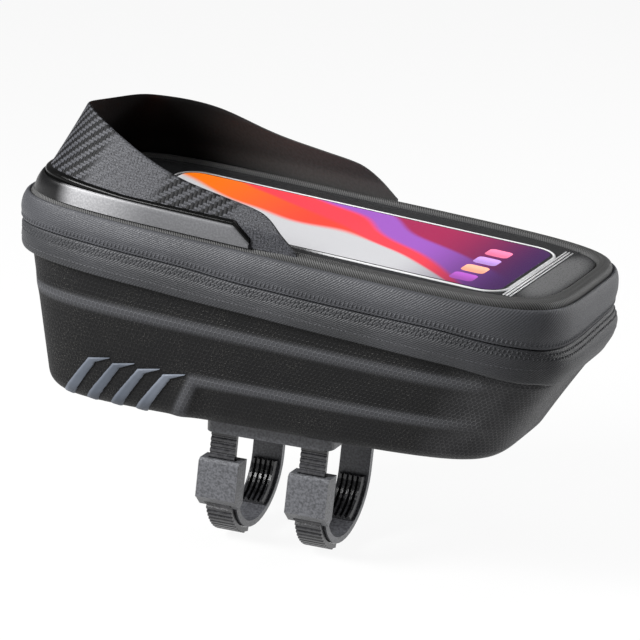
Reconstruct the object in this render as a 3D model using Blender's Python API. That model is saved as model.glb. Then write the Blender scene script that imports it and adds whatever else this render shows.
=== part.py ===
"""Hard-shell handlebar bag with a zipped phone-window lid, a sun visor and two strap clamps.

Metres, +Z up. The origin is the middle of the mount plate's underside, which sits on the handlebar.
+X runs along the bag to its sloped end, +Y across it, and the lid's fabric hinge is at the -X end.
The bag is modelled with its lid level. It is then turned about Y so that its floor is level instead.
"""

import bmesh
import bpy
from math import atan, atan2, cos, exp, pi, radians, sin, sqrt
from mathutils import Matrix, Vector

# Gaps and thicknesses
GAP = 0.0003
FABRIC = 0.0016
SHELL_WALL = 0.003

# Plan outline, which the lid's seam follows
LID_LENGTH = 0.214
LID_WIDTH = 0.098
CORNER_POWER = 5.0
BAG_AHEAD = 0.0015
STATION_COUNT = 64
CORNER_WEIGHT = 0.055

# Heights
FLOOR_HEIGHT = 0.0067
SHELL_DEPTH = 0.0713
SEAM_HEIGHT = FLOOR_HEIGHT + SHELL_DEPTH
ZIP_DROP = 0.014
ZIP_SLIT = 0.0006
BAND_DEPTH = 0.0235
BAND_TILT = -0.014
BAND_END_DROP = 0.0034
BAND_END_START = 0.070
BAND_BULGE = 0.0014
BAND_TUCK = 0.0009
BAND_AT_ZIP = 0.0004

# Moulded lower shell
SHELL_TOP_DROP = 0.0165
FLOOR_TILT = 0.078
SHELL_TOP_INSET = 0.003
HINGE_END_SLOPE = 0.0100
SLOPED_END_SLOPE = 0.0190
END_BULGE = 0.0020
END_BULGE_SHARE = 0.08
SIDE_SLOPE = 0.0094
FLOOR_ROUND = 0.007
FLOOR_ROUND_SHARE = 0.14
RIB_HEIGHT = 0.0013
RIB_WIDTH = 0.0031
RIB_FADE = 0.006
UPPER_RIB_DROP = 0.0338
UPPER_RIB_TILT = 0.025
LOWER_RIB_START = (0.0735 - LID_LENGTH / 2, -0.0740)
LOWER_RIB_BEND = (0.0810 - LID_LENGTH / 2, -0.0558)
LOWER_RIB_END = (LID_LENGTH / 2 - 0.0235, -0.0483)
WALL_ROWS = (0.0, 0.08, 0.145, 0.207, 0.27, 0.335, 0.44, 0.55, 0.61, 0.665, 0.73, 0.80, 0.86)
INNER_ROWS = (0.0, 0.35, 0.7, 0.86)

# Light chevrons on the near wall, measured from the hinge end and down from the seam
CHEVRON_COUNT = 4
CHEVRON_PITCH = 0.0105
CHEVRON_THICKNESS = 0.0005
CHEVRON_TOP = (0.0370, -0.0575)
CHEVRON_FOOT = (0.0248, -0.0745)
CHEVRON_TIP = (0.0465, -0.0551)
CHEVRON_WIDTH = 0.0047
CHEVRON_STEPS = 6

# Lid
RIM_LEDGE = 0.0036
HINGE_LEDGE = 0.0020
RIM_WIDTH = 0.0066
RIM_CROWN = 0.0021
RIM_DEPTH = 0.0024
LEDGE_HEIGHT = 0.0006
FILM_HEIGHT = 0.0010
FILM_THICKNESS = 0.0005
FRAME_TOP = 0.0006
FRAME_THICKNESS = 0.0020
FRAME_WALL = 0.0018
BACKING_THICKNESS = 0.0010

# Phone in the window pocket
PHONE_LENGTH = 0.154
PHONE_WIDTH = 0.066
PHONE_THICKNESS = 0.0078
PHONE_CORNER = 0.010
PHONE_CENTRE = (0.0070, -0.0015)
PHONE_EDGE = 0.0012
PHONE_CHAMFER = 0.0008
GLASS_THICKNESS = 0.0004
POCKET_CLEARANCE = 0.0005

# Sun visor and its base strip
TRIM_INSET = 0.0006
TRIM_THICKNESS = 0.0010
TRIM_HEIGHT = 0.0063
TRIM_END = -0.0050
TRIM_CHAMFER = 0.0085
TRIM_END_HEIGHT = 0.0006
VISOR_THICKNESS = 0.0012
VISOR_END = 0.0145
VISOR_SIDE_LEAN = 0.45
VISOR_FRONT_LEAN = 0.60
VISOR_LEAN_START = -0.058
VISOR_LEAN_POWER = 2.4
VISOR_SKEW = 0.165
VISOR_EDGE = (
    (0.0145, 0.0), (0.0095, 0.0040), (-0.0015, 0.0128), (-0.0075, 0.0143), (-0.0130, 0.0150),
    (-0.0380, 0.0183), (-0.0500, 0.0217), (-0.0620, 0.0260), (-0.0730, 0.0284), (-0.0830, 0.0302),
    (-0.0930, 0.0310), (-0.1100, 0.0310),
)
VISOR_LEAST = 0.0006
VISOR_ROWS = 5

# Mount plate and its fasteners
PLATE_LENGTH = 0.051
PLATE_WIDTH = 0.049
PLATE_CORNER = 0.004
SLOT_DEPTH = 0.0026
INNER_PLATE_LENGTH = 0.066
INNER_PLATE_WIDTH = 0.044
INNER_PLATE_THICKNESS = 0.0015
SCREW_SPACING = (0.018, 0.030)
SCREW_RADIUS = 0.0016
SCREW_HEAD_RADIUS = 0.0032
SCREW_HEAD_HEIGHT = 0.0016
SCREW_SIDES = 14
HOLE_CLEARANCE = 0.0004
CUT_MARGIN = 0.002

# Strap clamps
CLAMP_SPACING = 0.0365
LOOP_CENTRE = (0.0018, -0.0222)
ARM_RADIUS = 0.0202
ARM_THICKNESS = 0.0024
ARM_WIDTH = 0.0125
ARM_STEPS = 20
BUCKLE_WIDTH = 0.0163
BUCKLE_TOP = -0.0108
BUCKLE_BOTTOM = -0.0275
BUCKLE_FACE = 0.0021
BUCKLE_CHAMFER = 0.0010
TUNNEL_BITE = 0.0001
LOOP_LEAN = FLOOR_TILT
STRAP_WIDTH = 0.0104
STRAP_THICKNESS = 0.0021
STRAP_RIB = 0.0005
STRAP_RIB_PITCH = 0.0022
STRAP_END_ANGLE = -100.0
STRAP_CLEARANCE = 0.0004
PAD_WIDTH = 0.0104
PAD_BASE = 0.0012
PAD_RIB_HEIGHT = 0.0012
PAD_RIB_COUNT = 5
PAD_START_ANGLE = -4.0
PAD_END_ANGLE = -62.0
PAD_STEPS = 9

# Zip slider on the far side, with its hanging puller
SLIDER_START = -0.045
SLIDER_STANDOFF = 0.0016
SLIDER_LENGTH = 0.011
SLIDER_HEIGHT = 0.0062
SLIDER_PLATE = 0.0016
BRIDGE_LENGTH = 0.0092
BRIDGE_BAR = 0.0012
BRIDGE_OPENING = (0.0062, 0.0030)
PULLER_EYE = 0.0012
PULLER_RING = 0.0011
PULLER_WIDTH = 0.0050
PULLER_LENGTH = 0.0225
PULLER_THICKNESS = 0.0013
COIL_WIDTH = 0.0018
COIL_HEIGHT = 0.0014
HINGE_HALF_WIDTH = 0.030
HINGE_TAPE_DEPTH = 0.007
HINGE_TAPE_THICKNESS = 0.0006

# Looks of the plain solids: colour, roughness, metallic
LOOKS = {
    "eva_shell": ((0.030, 0.031, 0.034), 0.75, 0.0),
    "coated_fabric": ((0.075, 0.076, 0.086), 0.55, 0.0),
    "rim_fabric": ((0.045, 0.046, 0.048), 0.80, 0.0),
    "zip": ((0.035, 0.035, 0.038), 0.50, 0.0),
    "gloss_black": ((0.006, 0.006, 0.007), 0.15, 0.0),
    "clear_film": ((0.70, 0.72, 0.75), 0.05, 0.0),
    "phone_metal": ((0.60, 0.61, 0.63), 0.25, 0.9),
    "phone_glass": ((0.90, 0.22, 0.05), 0.10, 0.0),
    "satin_trim": ((0.12, 0.12, 0.13), 0.35, 0.2),
    "visor_sheet": ((0.07, 0.07, 0.075), 0.45, 0.0),
    "chevron_film": ((0.26, 0.29, 0.34), 0.50, 0.0),
    "hard_plastic": ((0.030, 0.031, 0.034), 0.50, 0.0),
    "strap_rubber": ((0.012, 0.012, 0.013), 0.55, 0.0),
    "steel": ((0.45, 0.46, 0.48), 0.30, 1.0),
}


def clear_scene():
    """Removes whatever the scene holds."""
    for thing in list(bpy.data.objects):
        bpy.data.objects.remove(thing, do_unlink=True)


def make_collection(name):
    group = bpy.data.collections.new(name)
    bpy.context.scene.collection.children.link(group)
    return group


def make_material(name, look):
    colour, roughness, metallic = LOOKS[look]
    material = bpy.data.materials.new(name)
    material.use_nodes = True
    shader = material.node_tree.nodes["Principled BSDF"]
    shader.inputs["Base Color"].default_value = (*colour, 1.0)
    shader.inputs["Roughness"].default_value = roughness
    shader.inputs["Metallic"].default_value = metallic
    return material


def finish_mesh(name, mesh_data, look, collection=None):
    """Makes a named object with outward faces and its own material."""
    bmesh.ops.recalc_face_normals(mesh_data, faces=mesh_data.faces)
    mesh = bpy.data.meshes.new(name)
    mesh_data.to_mesh(mesh)
    mesh_data.free()
    mesh.shade_smooth()
    mesh.set_sharp_from_angle(angle=radians(35))
    thing = bpy.data.objects.new(name, mesh)
    if look:
        mesh.materials.append(make_material(name, look))
    (collection or PARTS).objects.link(thing)
    return thing


def loft(name, rings, look, wrap=False, collection=None):
    """Joins closed rings of points into one solid, capped at both ends or wrapped round."""
    data = bmesh.new()
    rows = [[data.verts.new(point) for point in ring] for ring in rings]
    pairs = list(zip(rows, rows[1:]))
    if wrap:
        pairs.append((rows[-1], rows[0]))
    else:
        data.faces.new(rows[0])
        data.faces.new(rows[-1])
    for low, high in pairs:
        for i in range(len(low)):
            j = (i + 1) % len(low)
            data.faces.new((low[i], low[j], high[j], high[i]))
    return finish_mesh(name, data, look, collection)


def cut(target, cutter):
    """Takes the cutter out of the target with an exact Boolean."""
    boolean(target, cutter, "DIFFERENCE")


def join(target, cutter):
    boolean(target, cutter, "UNION")


def boolean(target, other, operation):
    other.hide_render = True
    other.display_type = "WIRE"
    modifier = target.modifiers.new(operation.lower(), "BOOLEAN")
    modifier.operation = operation
    modifier.object = other
    modifier.solver = "EXACT"


def box(name, low, high, look=None, collection=None):
    data = bmesh.new()
    bmesh.ops.create_cube(data, size=1.0)
    size = [h - l for l, h in zip(low, high)]
    middle = [(h + l) / 2 for l, h in zip(low, high)]
    bmesh.ops.scale(data, vec=size, verts=data.verts)
    bmesh.ops.translate(data, vec=middle, verts=data.verts)
    return finish_mesh(name, data, look, collection)


def cylinder(name, radius, base, top, look=None, collection=None):
    """An upright cylinder from base to top."""
    data = bmesh.new()
    height = top[2] - base[2]
    bmesh.ops.create_cone(
        data, cap_ends=True, segments=SCREW_SIDES, radius1=radius, radius2=radius, depth=height
    )
    bmesh.ops.translate(data, vec=(base[0], base[1], base[2] + height / 2), verts=data.verts)
    return finish_mesh(name, data, look, collection)


def prism(name, outline, axis, low, high, look, collection=None):
    """Extrudes a flat outline along X or Y. The outline holds the other two coordinates."""
    def place(point, depth):
        return (depth, *point) if axis == "X" else (point[0], depth, point[1])
    rings = [[place(point, depth) for point in outline] for depth in (low, high)]
    return loft(name, rings, look, collection=collection)


# Plan outline

def signed_power(value, power):
    return abs(value) ** power * (1 if value >= 0 else -1)


def ease(share):
    """A share from 0 to 1 with a gentle start and stop."""
    return share * share * (3 - 2 * share)


def plan_point(angle, half_length, half_width):
    """A point of the rounded outline, which is a superellipse."""
    return (
        half_length * signed_power(cos(angle), 2 / CORNER_POWER),
        half_width * signed_power(sin(angle), 2 / CORNER_POWER),
    )


def outline_angles(count):
    """Angles once round from the hinge end, closer together in the corners."""
    fine = 3000
    angles = [-pi + 2 * pi * i / fine for i in range(fine + 1)]
    points = [Vector(plan_point(a, LID_LENGTH / 2, LID_WIDTH / 2)) for a in angles]
    weights = [0.0]
    for i in range(1, fine + 1):
        step = points[i] - points[i - 1]
        before = points[i - 1] - points[i - 2] if i > 1 else points[0] - points[-2]
        turn = abs(step.angle(before)) if step.length and before.length else 0.0
        weights.append(weights[-1] + step.length + CORNER_WEIGHT * turn)
    chosen = []
    index = 0
    for k in range(count):
        while weights[index] < weights[-1] * (k + 0.5) / count:
            index += 1
        chosen.append(angles[index])
    return chosen


def foot_line(x):
    """How the lower band's foot departs from level: a tilt, and a drop at the sloped end."""
    share = max(0.0, min(1.0, (x - BAND_END_START) / (LID_LENGTH / 2 - BAND_END_START)))
    return BAND_TILT * x - BAND_END_DROP * ease(share)


def offset_point(angle, offset, drop, follow=0.0, ledge=0.0):
    """A point a distance outside the lid's seam outline, at a height from the seam.

    With follow 1 its height also follows the lower band's foot.
    The ledge moves it further in at the hinge end alone, where the rim is wider.
    """
    hinge_end = cos(angle) < 0
    half_length = LID_LENGTH / 2 + offset - (ledge if hinge_end else 0.0)
    x, y = plan_point(angle, half_length, LID_WIDTH / 2 + offset)
    return (x + BAG_AHEAD, y, SEAM_HEIGHT + drop + follow * foot_line(x))


def ring_round_bag(name, profile, look):
    """Sweeps a closed profile of (offset, height, follow) right round the plan outline."""
    rings = [[offset_point(a, *point) for a in ANGLES] for point in profile]
    return loft(name, rings, look, wrap=True)


def strip_round_bag(name, profile, angles, look):
    """Sweeps a closed profile along part of the plan outline, with closed ends."""
    rings = [[offset_point(a, *point) for point in profile] for a in angles]
    return loft(name, rings, look)


def zip_angles():
    """The stretch of the outline that the zip runs along: all but the fabric hinge."""
    return [a for a in ANGLES if not at_hinge(a)]


def hinge_angles():
    """The fabric hinge's stretch, across the hinge end."""
    ordered = [a for a in ANGLES if at_hinge(a) and a > 0]
    ordered += [a + 2 * pi for a in ANGLES if at_hinge(a) and a < 0]
    return ordered


def at_hinge(angle):
    x, y = plan_point(angle, LID_LENGTH / 2, LID_WIDTH / 2)
    return x < 0 and abs(y) < HINGE_HALF_WIDTH


# Fabric bands and zip

def band_profile(outer):
    """Gives an outer line of (offset, height, follow) the fabric's thickness."""
    inner = [(offset - FABRIC, height, follow) for offset, height, follow in reversed(outer)]
    return outer + inner


def make_bands():
    slit_top = -ZIP_DROP + ZIP_SLIT / 2
    slit_bottom = -ZIP_DROP - ZIP_SLIT / 2
    upper = [
        (-GAP, -0.0006, 0), (0.0004, -0.0014, 0), (BAND_BULGE * 0.85, -0.0040, 0),
        (BAND_BULGE, -0.0078, 0), (BAND_BULGE * 0.75, -0.0115, 0), (BAND_AT_ZIP, slit_top, 0),
    ]
    foot = -BAND_DEPTH
    lower = [
        (BAND_AT_ZIP, slit_bottom, 0), (BAND_BULGE * 0.7, -0.0166, 0), (BAND_BULGE * 0.7, -0.0190, 0.3),
        (BAND_AT_ZIP, foot + 0.0017, 1), (-BAND_TUCK, foot, 1),
    ]
    ring_round_bag("upper_band", band_profile(upper), "coated_fabric")
    ring_round_bag("lower_band", band_profile(lower), "coated_fabric")
    coil_out = BAND_AT_ZIP - FABRIC - GAP
    coil_in = coil_out - COIL_WIDTH
    for name, near, far in (
        ("zip_coil_upper", slit_top, slit_top + COIL_HEIGHT),
        ("zip_coil_lower", slit_bottom - COIL_HEIGHT, slit_bottom),
    ):
        profile = [(coil_out, near), (coil_out, far), (coil_in, far), (coil_in, near)]
        strip_round_bag(name, profile, zip_angles(), "zip")
    tape_out = -SHELL_TOP_INSET + GAP + HINGE_TAPE_THICKNESS
    tape_in = tape_out - HINGE_TAPE_THICKNESS
    tape = [
        (tape_out, slit_bottom - HINGE_TAPE_DEPTH), (tape_out, slit_bottom),
        (tape_in, slit_bottom), (tape_in, slit_bottom - HINGE_TAPE_DEPTH),
    ]
    strip_round_bag("hinge_tape", tape, hinge_angles(), "coated_fabric")


# Moulded shell

def shell_section(share):
    """Half length, half width and middle of the shell at a share of its depth."""
    half_length = LID_LENGTH / 2 - SHELL_TOP_INSET
    hinge_end = HINGE_END_SLOPE * share
    sloped_end = SLOPED_END_SLOPE * share - END_BULGE * min(1.0, share / END_BULGE_SHARE)
    ends = (hinge_end + sloped_end) / 2
    middle = (hinge_end - sloped_end) / 2
    round_start = 1 - FLOOR_ROUND_SHARE
    inset = 0.0
    if share > round_start:
        turn = min(1.0, (share - round_start) / FLOOR_ROUND_SHARE)
        inset = FLOOR_ROUND * (1 - sqrt(1 - turn * turn))
    half_width = LID_WIDTH / 2 - SHELL_TOP_INSET - SIDE_SLOPE * share
    return half_length - ends - inset, half_width - inset, middle


def shell_height(share, x):
    """Height from the seam of a row of the shell, which tilts more towards the floor."""
    top = -BAND_DEPTH + foot_line(x)
    floor = -SHELL_DEPTH + FLOOR_TILT * x
    return top + (floor - top) * share


def distance_to_line(x, z, start, end):
    along = Vector((end[0] - start[0], end[1] - start[1]))
    here = Vector((x - start[0], z - start[1]))
    share = max(0.0, min(1.0, here.dot(along) / along.length_squared))
    return (here - along * share).length


def rib_offset(x, z):
    """How far the moulded ribs stand out of the side walls."""
    upper = abs(z + UPPER_RIB_DROP - UPPER_RIB_TILT * x)
    if x > LOWER_RIB_END[0]:
        upper += (x - LOWER_RIB_END[0]) * RIB_WIDTH / RIB_FADE
    lower = min(
        distance_to_line(x, z, LOWER_RIB_START, LOWER_RIB_BEND),
        distance_to_line(x, z, LOWER_RIB_BEND, LOWER_RIB_END),
    )
    return RIB_HEIGHT * max(exp(-((upper / RIB_WIDTH) ** 2)), exp(-((lower / RIB_WIDTH) ** 2)))


def shell_point(angle, share, inset=0.0, ribs=False):
    """A point of the shell's wall; inset moves it inwards by the wall's thickness."""
    half_length, half_width, middle = shell_section(share)
    x, y = plan_point(angle, half_length - inset, half_width - inset)
    z = shell_height(share, x + middle)
    if ribs:
        y += rib_offset(x + middle, z) * signed_power(sin(angle), 1.0)
    return Vector((x + middle + BAG_AHEAD, y, SEAM_HEIGHT + z))


def round_shares():
    """Rows of the rounded floor edge, evenly turned."""
    start = 1 - FLOOR_ROUND_SHARE
    return [start + FLOOR_ROUND_SHARE * sin(radians(a)) for a in (24, 48, 70, 90)]


def make_shell():
    flange = [shell_point(a, 0.0) for a in ANGLES]
    for point in flange:
        point.z = SEAM_HEIGHT - SHELL_TOP_DROP
    rings = [flange]
    for share in WALL_ROWS + tuple(round_shares()):
        rings.append([shell_point(a, share, ribs=True) for a in ANGLES])
    inner = []
    for share in INNER_ROWS + tuple(round_shares()[1::2]):
        ring = [shell_point(a, share, inset=SHELL_WALL) for a in ANGLES]
        for point in ring:
            point.z += SHELL_WALL * max(0.0, share - INNER_ROWS[1]) / (1 - INNER_ROWS[1])
        inner.append(ring)
    inner_flange = [Vector((p.x, p.y, flange[0].z)) for p in inner[0]]
    rings = list(reversed([inner_flange] + inner)) + rings
    return loft("lower_shell", rings, "eva_shell")


def near_wall(x, drop, stand_off):
    """A point on the near wall of the shell at a height from the seam, moved outwards."""
    share = (drop - shell_height(0.0, x)) / (shell_height(1.0, x) - shell_height(0.0, x))
    half_length, half_width, middle = shell_section(share)
    reach = min(0.999, abs((x - middle) / half_length))
    y = -half_width * (1 - reach ** CORNER_POWER) ** (1 / CORNER_POWER)
    y_on_rib = y - rib_offset(x, drop)
    return Vector((x + BAG_AHEAD, y_on_rib, SEAM_HEIGHT + drop)) + wall_normal(x, drop, y) * stand_off


def wall_normal(x, drop, y):
    """Outward direction of the near wall, from its slope down and along."""
    share = (drop - shell_height(0.0, x)) / (shell_height(1.0, x) - shell_height(0.0, x))
    half_length, half_width, middle = shell_section(share)
    along = signed_power((x - middle) / half_length, CORNER_POWER - 1) / half_length
    across = -abs(y / half_width) ** (CORNER_POWER - 1) / half_width
    below = shell_section(min(1.0, share + 0.02))[1]
    drop_step = abs(shell_height(0.02, 0) - shell_height(0.0, 0))
    flat = Vector((along, across, 0)).normalized()
    return Vector((flat.x, flat.y, -(half_width - below) / drop_step)).normalized()


def make_chevrons():
    """Four hooked bars of heat-pressed film, a pitch apart, each following the wall."""
    for number in range(CHEVRON_COUNT):
        shift = number * CHEVRON_PITCH - LID_LENGTH / 2
        lift = number * CHEVRON_PITCH * FLOOR_TILT / 2
        left = []
        right = []
        for k in range(CHEVRON_STEPS + 1):
            share = k / CHEVRON_STEPS
            x = CHEVRON_FOOT[0] + (CHEVRON_TOP[0] - CHEVRON_FOOT[0]) * share + shift
            z = CHEVRON_FOOT[1] + (CHEVRON_TOP[1] - CHEVRON_FOOT[1]) * share + lift
            left.append((x, z))
            right.append((x + CHEVRON_WIDTH * (1 - 0.35 * share), z - 0.0004 - 0.0006 * share))
        tip = (CHEVRON_TIP[0] + shift, CHEVRON_TIP[1] + lift)
        for share in (0.45, 0.93):
            left.append(mix(left[CHEVRON_STEPS], tip, share))
            right.append(mix(right[CHEVRON_STEPS], tip, share))
        rings = []
        for (lx, lz), (rx, rz) in zip(left, right):
            rings.append([
                near_wall(lx, lz, GAP), near_wall(rx, rz, GAP),
                near_wall(rx, rz, GAP + CHEVRON_THICKNESS), near_wall(lx, lz, GAP + CHEVRON_THICKNESS),
            ])
        loft(f"reflective_chevron_{number + 1}", rings, "chevron_film")


def mix(a, b, share):
    return tuple(p + (q - p) * share for p, q in zip(a, b))


# Lid

def rounded_rectangle(length, width, corner, centre, z, steps=6):
    """A level ring with round corners."""
    points = []
    for quarter in range(4):
        start = quarter * pi / 2
        x = (length / 2 - corner) * (1 if quarter in (0, 3) else -1)
        y = (width / 2 - corner) * (1 if quarter in (0, 1) else -1)
        for k in range(steps + 1):
            angle = start + pi / 2 * k / steps
            points.append((
                centre[0] + BAG_AHEAD + x + corner * cos(angle), centre[1] + y + corner * sin(angle), z
            ))
    return points


def make_rim():
    """The fabric-covered rim: a flat ledge, a low crown and a skirt inside the band."""
    top = LEDGE_HEIGHT
    inner = -RIM_WIDTH
    ledge = HINGE_LEDGE
    skirt = -FABRIC - 2 * GAP
    profile = [
        (-GAP, -GAP, 0, 0), (-GAP, top, 0, 0), (-RIM_LEDGE, top, 0, ledge),
        (-RIM_LEDGE - 0.0008, RIM_CROWN - 0.0004, 0, ledge), (-RIM_LEDGE - 0.0016, RIM_CROWN, 0, ledge),
        (inner + 0.0005, RIM_CROWN - 0.0005, 0, ledge), (inner, top, 0, ledge),
        (inner, -RIM_DEPTH, 0, ledge), (skirt, -RIM_DEPTH, 0, 0), (skirt, -GAP, 0, 0),
    ]
    return ring_round_bag("lid_rim", profile, "rim_fabric")


def inside_rim(z):
    """A ring just inside the rim's inner edge."""
    return [offset_point(a, -RIM_WIDTH - GAP, z, 0, HINGE_LEDGE) for a in ANGLES]


def reach_to_edge(direction, half_length, half_width, corner):
    """How far a ray from the middle of a round-cornered rectangle runs to its edge."""
    near = 0.0
    far = half_length + half_width
    for _ in range(32):
        middle = (near + far) / 2
        over_x = max(0.0, abs(direction.x * middle) - half_length + corner)
        over_y = max(0.0, abs(direction.y * middle) - half_width + corner)
        if sqrt(over_x ** 2 + over_y ** 2) < corner:
            near = middle
        else:
            far = middle
    return near


def pocket_ring(margin, z):
    """A ring round the phone, with a point on the bearing of each point of the outline."""
    half_length = PHONE_LENGTH / 2 + margin
    half_width = PHONE_WIDTH / 2 + margin
    centre = Vector((PHONE_CENTRE[0], PHONE_CENTRE[1]))
    points = []
    for angle in ANGLES:
        direction = (Vector(plan_point(angle, LID_LENGTH / 2, LID_WIDTH / 2)) - centre).normalized()
        reach = reach_to_edge(direction, half_length, half_width, PHONE_CORNER + margin)
        place = centre + direction * reach
        points.append((place.x + BAG_AHEAD, place.y, SEAM_HEIGHT + z))
    return points


def make_lid_frame():
    """The glossy black tray: a flange inside the rim and a wall round the phone."""
    wall_foot = FRAME_TOP - PHONE_THICKNESS - GAP
    under = FRAME_TOP - FRAME_THICKNESS
    inner_margin = POCKET_CLEARANCE
    outer_margin = POCKET_CLEARANCE + FRAME_WALL
    rings = [
        inside_rim(FRAME_TOP),
        pocket_ring(inner_margin, FRAME_TOP),
        pocket_ring(inner_margin, wall_foot),
        pocket_ring(outer_margin, wall_foot),
        pocket_ring(outer_margin, under),
        inside_rim(under),
    ]
    loft("lid_frame", rings, "gloss_black", wrap=True)
    backing_top = wall_foot - GAP
    backing = [pocket_ring(outer_margin, backing_top), pocket_ring(outer_margin, backing_top - BACKING_THICKNESS)]
    loft("phone_pocket_backing", backing, "rim_fabric")


def make_window():
    rings = [inside_rim(FILM_HEIGHT), inside_rim(FILM_HEIGHT + FILM_THICKNESS)]
    loft("window_film", rings, "clear_film")


def make_phone():
    """A slim phone that rests in the pocket, under the film."""
    top = SEAM_HEIGHT + FILM_HEIGHT - 2 * GAP - GLASS_THICKNESS
    foot = SEAM_HEIGHT + FRAME_TOP - PHONE_THICKNESS
    edge = PHONE_CHAMFER
    rings = []
    for inset, z in ((edge, foot), (0, foot + edge), (0, top - edge), (edge, top)):
        length = PHONE_LENGTH - 2 * inset
        width = PHONE_WIDTH - 2 * inset
        rings.append(rounded_rectangle(length, width, PHONE_CORNER - inset, PHONE_CENTRE, z))
    loft("phone", rings, "phone_metal")
    glass = []
    for z in (top + GAP, top + GAP + GLASS_THICKNESS):
        length = PHONE_LENGTH - 2 * PHONE_EDGE
        width = PHONE_WIDTH - 2 * PHONE_EDGE
        glass.append(rounded_rectangle(length, width, PHONE_CORNER - PHONE_EDGE, PHONE_CENTRE, z))
    loft("phone_screen", glass, "phone_glass")


# Visor

def height_along(points, x):
    """Height at x of a line through the given points, which run towards -X."""
    for (x0, z0), (x1, z1) in zip(points, points[1:]):
        if x <= x0 and x >= x1:
            return z0 + (z1 - z0) * (x0 - x) / (x0 - x1)
    return points[0][1] if x > points[0][0] else points[-1][1]


def trim_height(x):
    """The base strip's height: full, then sloped down to its end."""
    return TRIM_HEIGHT * max(0.0, min(1.0, (TRIM_END - x) / TRIM_CHAMFER))


def u_angles(end, count):
    """Angles along the near side, round the hinge end and back along the far side to x = end."""
    fine = 4000
    inside = []
    for i in range(fine + 1):
        angle = 2 * pi * i / fine
        if plan_point(angle, LID_LENGTH / 2, LID_WIDTH / 2)[0] <= end:
            inside.append(angle)
    points = [Vector(plan_point(a, LID_LENGTH / 2, LID_WIDTH / 2)) for a in inside]
    lengths = [0.0]
    for a, b in zip(points, points[1:]):
        lengths.append(lengths[-1] + (b - a).length)
    chosen = []
    index = 0
    for k in range(count):
        target = lengths[-1] * k / (count - 1)
        while index < len(lengths) - 1 and lengths[index] < target:
            index += 1
        chosen.append(inside[index])
    return chosen


def visor_lean(x, y, rise):
    """How far forwards and sideways the visor leans at a height above its foot.

    At the hinge end it leans forwards from its foot, and its sides lean inwards above the base strip.
    """
    reach = max(0.0, (VISOR_LEAN_START - x) / (LID_LENGTH / 2 + VISOR_LEAN_START))
    above_strip = max(0.0, rise - TRIM_END_HEIGHT - TRIM_HEIGHT)
    forwards = VISOR_FRONT_LEAN * reach ** VISOR_LEAN_POWER * rise
    return forwards, -VISOR_SIDE_LEAN * above_strip * y / (LID_WIDTH / 2)


def make_trim():
    """The satin base strip round the outside of the visor's foot, leaning with it; its ends are sloped."""
    rings = []
    foot = LEDGE_HEIGHT + GAP
    outer = -TRIM_INSET
    inner = outer - TRIM_THICKNESS
    for angle in u_angles(TRIM_END - BAG_AHEAD, 46):
        station = plan_point(angle, LID_LENGTH / 2, LID_WIDTH / 2)[0]
        rise = TRIM_END_HEIGHT + trim_height(station)
        face_x, face_y, _ = offset_point(angle, inner - GAP, foot, 0, HINGE_LEDGE)
        lean, _ = visor_lean(face_x - BAG_AHEAD, face_y, rise)
        ring = []
        for offset, share in ((outer, 0), (outer, 1), (inner, 1), (inner, 0)):
            x, y, z = offset_point(angle, offset, foot + rise * share, 0, HINGE_LEDGE)
            ring.append((x + lean * share, y, z))
        rings.append(ring)
    loft("visor_base", rings, "satin_trim")


def visor_point(angle, share, depth):
    """A point of the visor sheet at a share of its height; depth runs through its thickness."""
    offset = -TRIM_INSET - TRIM_THICKNESS - GAP - depth
    foot = LEDGE_HEIGHT + GAP
    x, y, base = offset_point(angle, offset, foot, 0, HINGE_LEDGE)
    x -= BAG_AHEAD
    frontness = max(0.0, min(1.0, (VISOR_LEAN_START - x) / 0.030))
    peak = height_along(VISOR_EDGE, x) * (1 - VISOR_SKEW * frontness * y / (LID_WIDTH / 2))
    rise = max(VISOR_LEAST, peak - foot) * share
    forwards, sideways = visor_lean(x, y, rise)
    return (x + forwards + BAG_AHEAD, y + sideways, base + rise)


def make_visor():
    """The thin hood: an open U of sheet that leans inwards, taller at the hinge end."""
    rings = []
    for angle in u_angles(VISOR_END - BAG_AHEAD - 0.0012, 62):
        outer = [visor_point(angle, k / VISOR_ROWS, 0.0) for k in range(VISOR_ROWS + 1)]
        inner = [visor_point(angle, k / VISOR_ROWS, VISOR_THICKNESS) for k in range(VISOR_ROWS + 1)]
        rings.append(outer + inner[::-1])
    return loft("sun_visor", rings, "visor_sheet")


# Mount plate

def floor_level():
    """Height of the shell's level floor, outside, once the bag is turned."""
    return FLOOR_HEIGHT * cos(LEAN_ANGLE) - BAG_AHEAD * sin(LEAN_ANGLE)


def screw_places():
    return [(sx * SCREW_SPACING[0] / 2, sy * SCREW_SPACING[1] / 2) for sx in (-1, 1) for sy in (-1, 1)]


def plate(name, length, width, foot, top):
    """A flat plate with round corners."""
    rings = [rounded_rectangle(length, width, PLATE_CORNER, (-BAG_AHEAD, 0), z, steps=4) for z in (foot, top)]
    return loft(name, rings, "hard_plastic")


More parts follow.
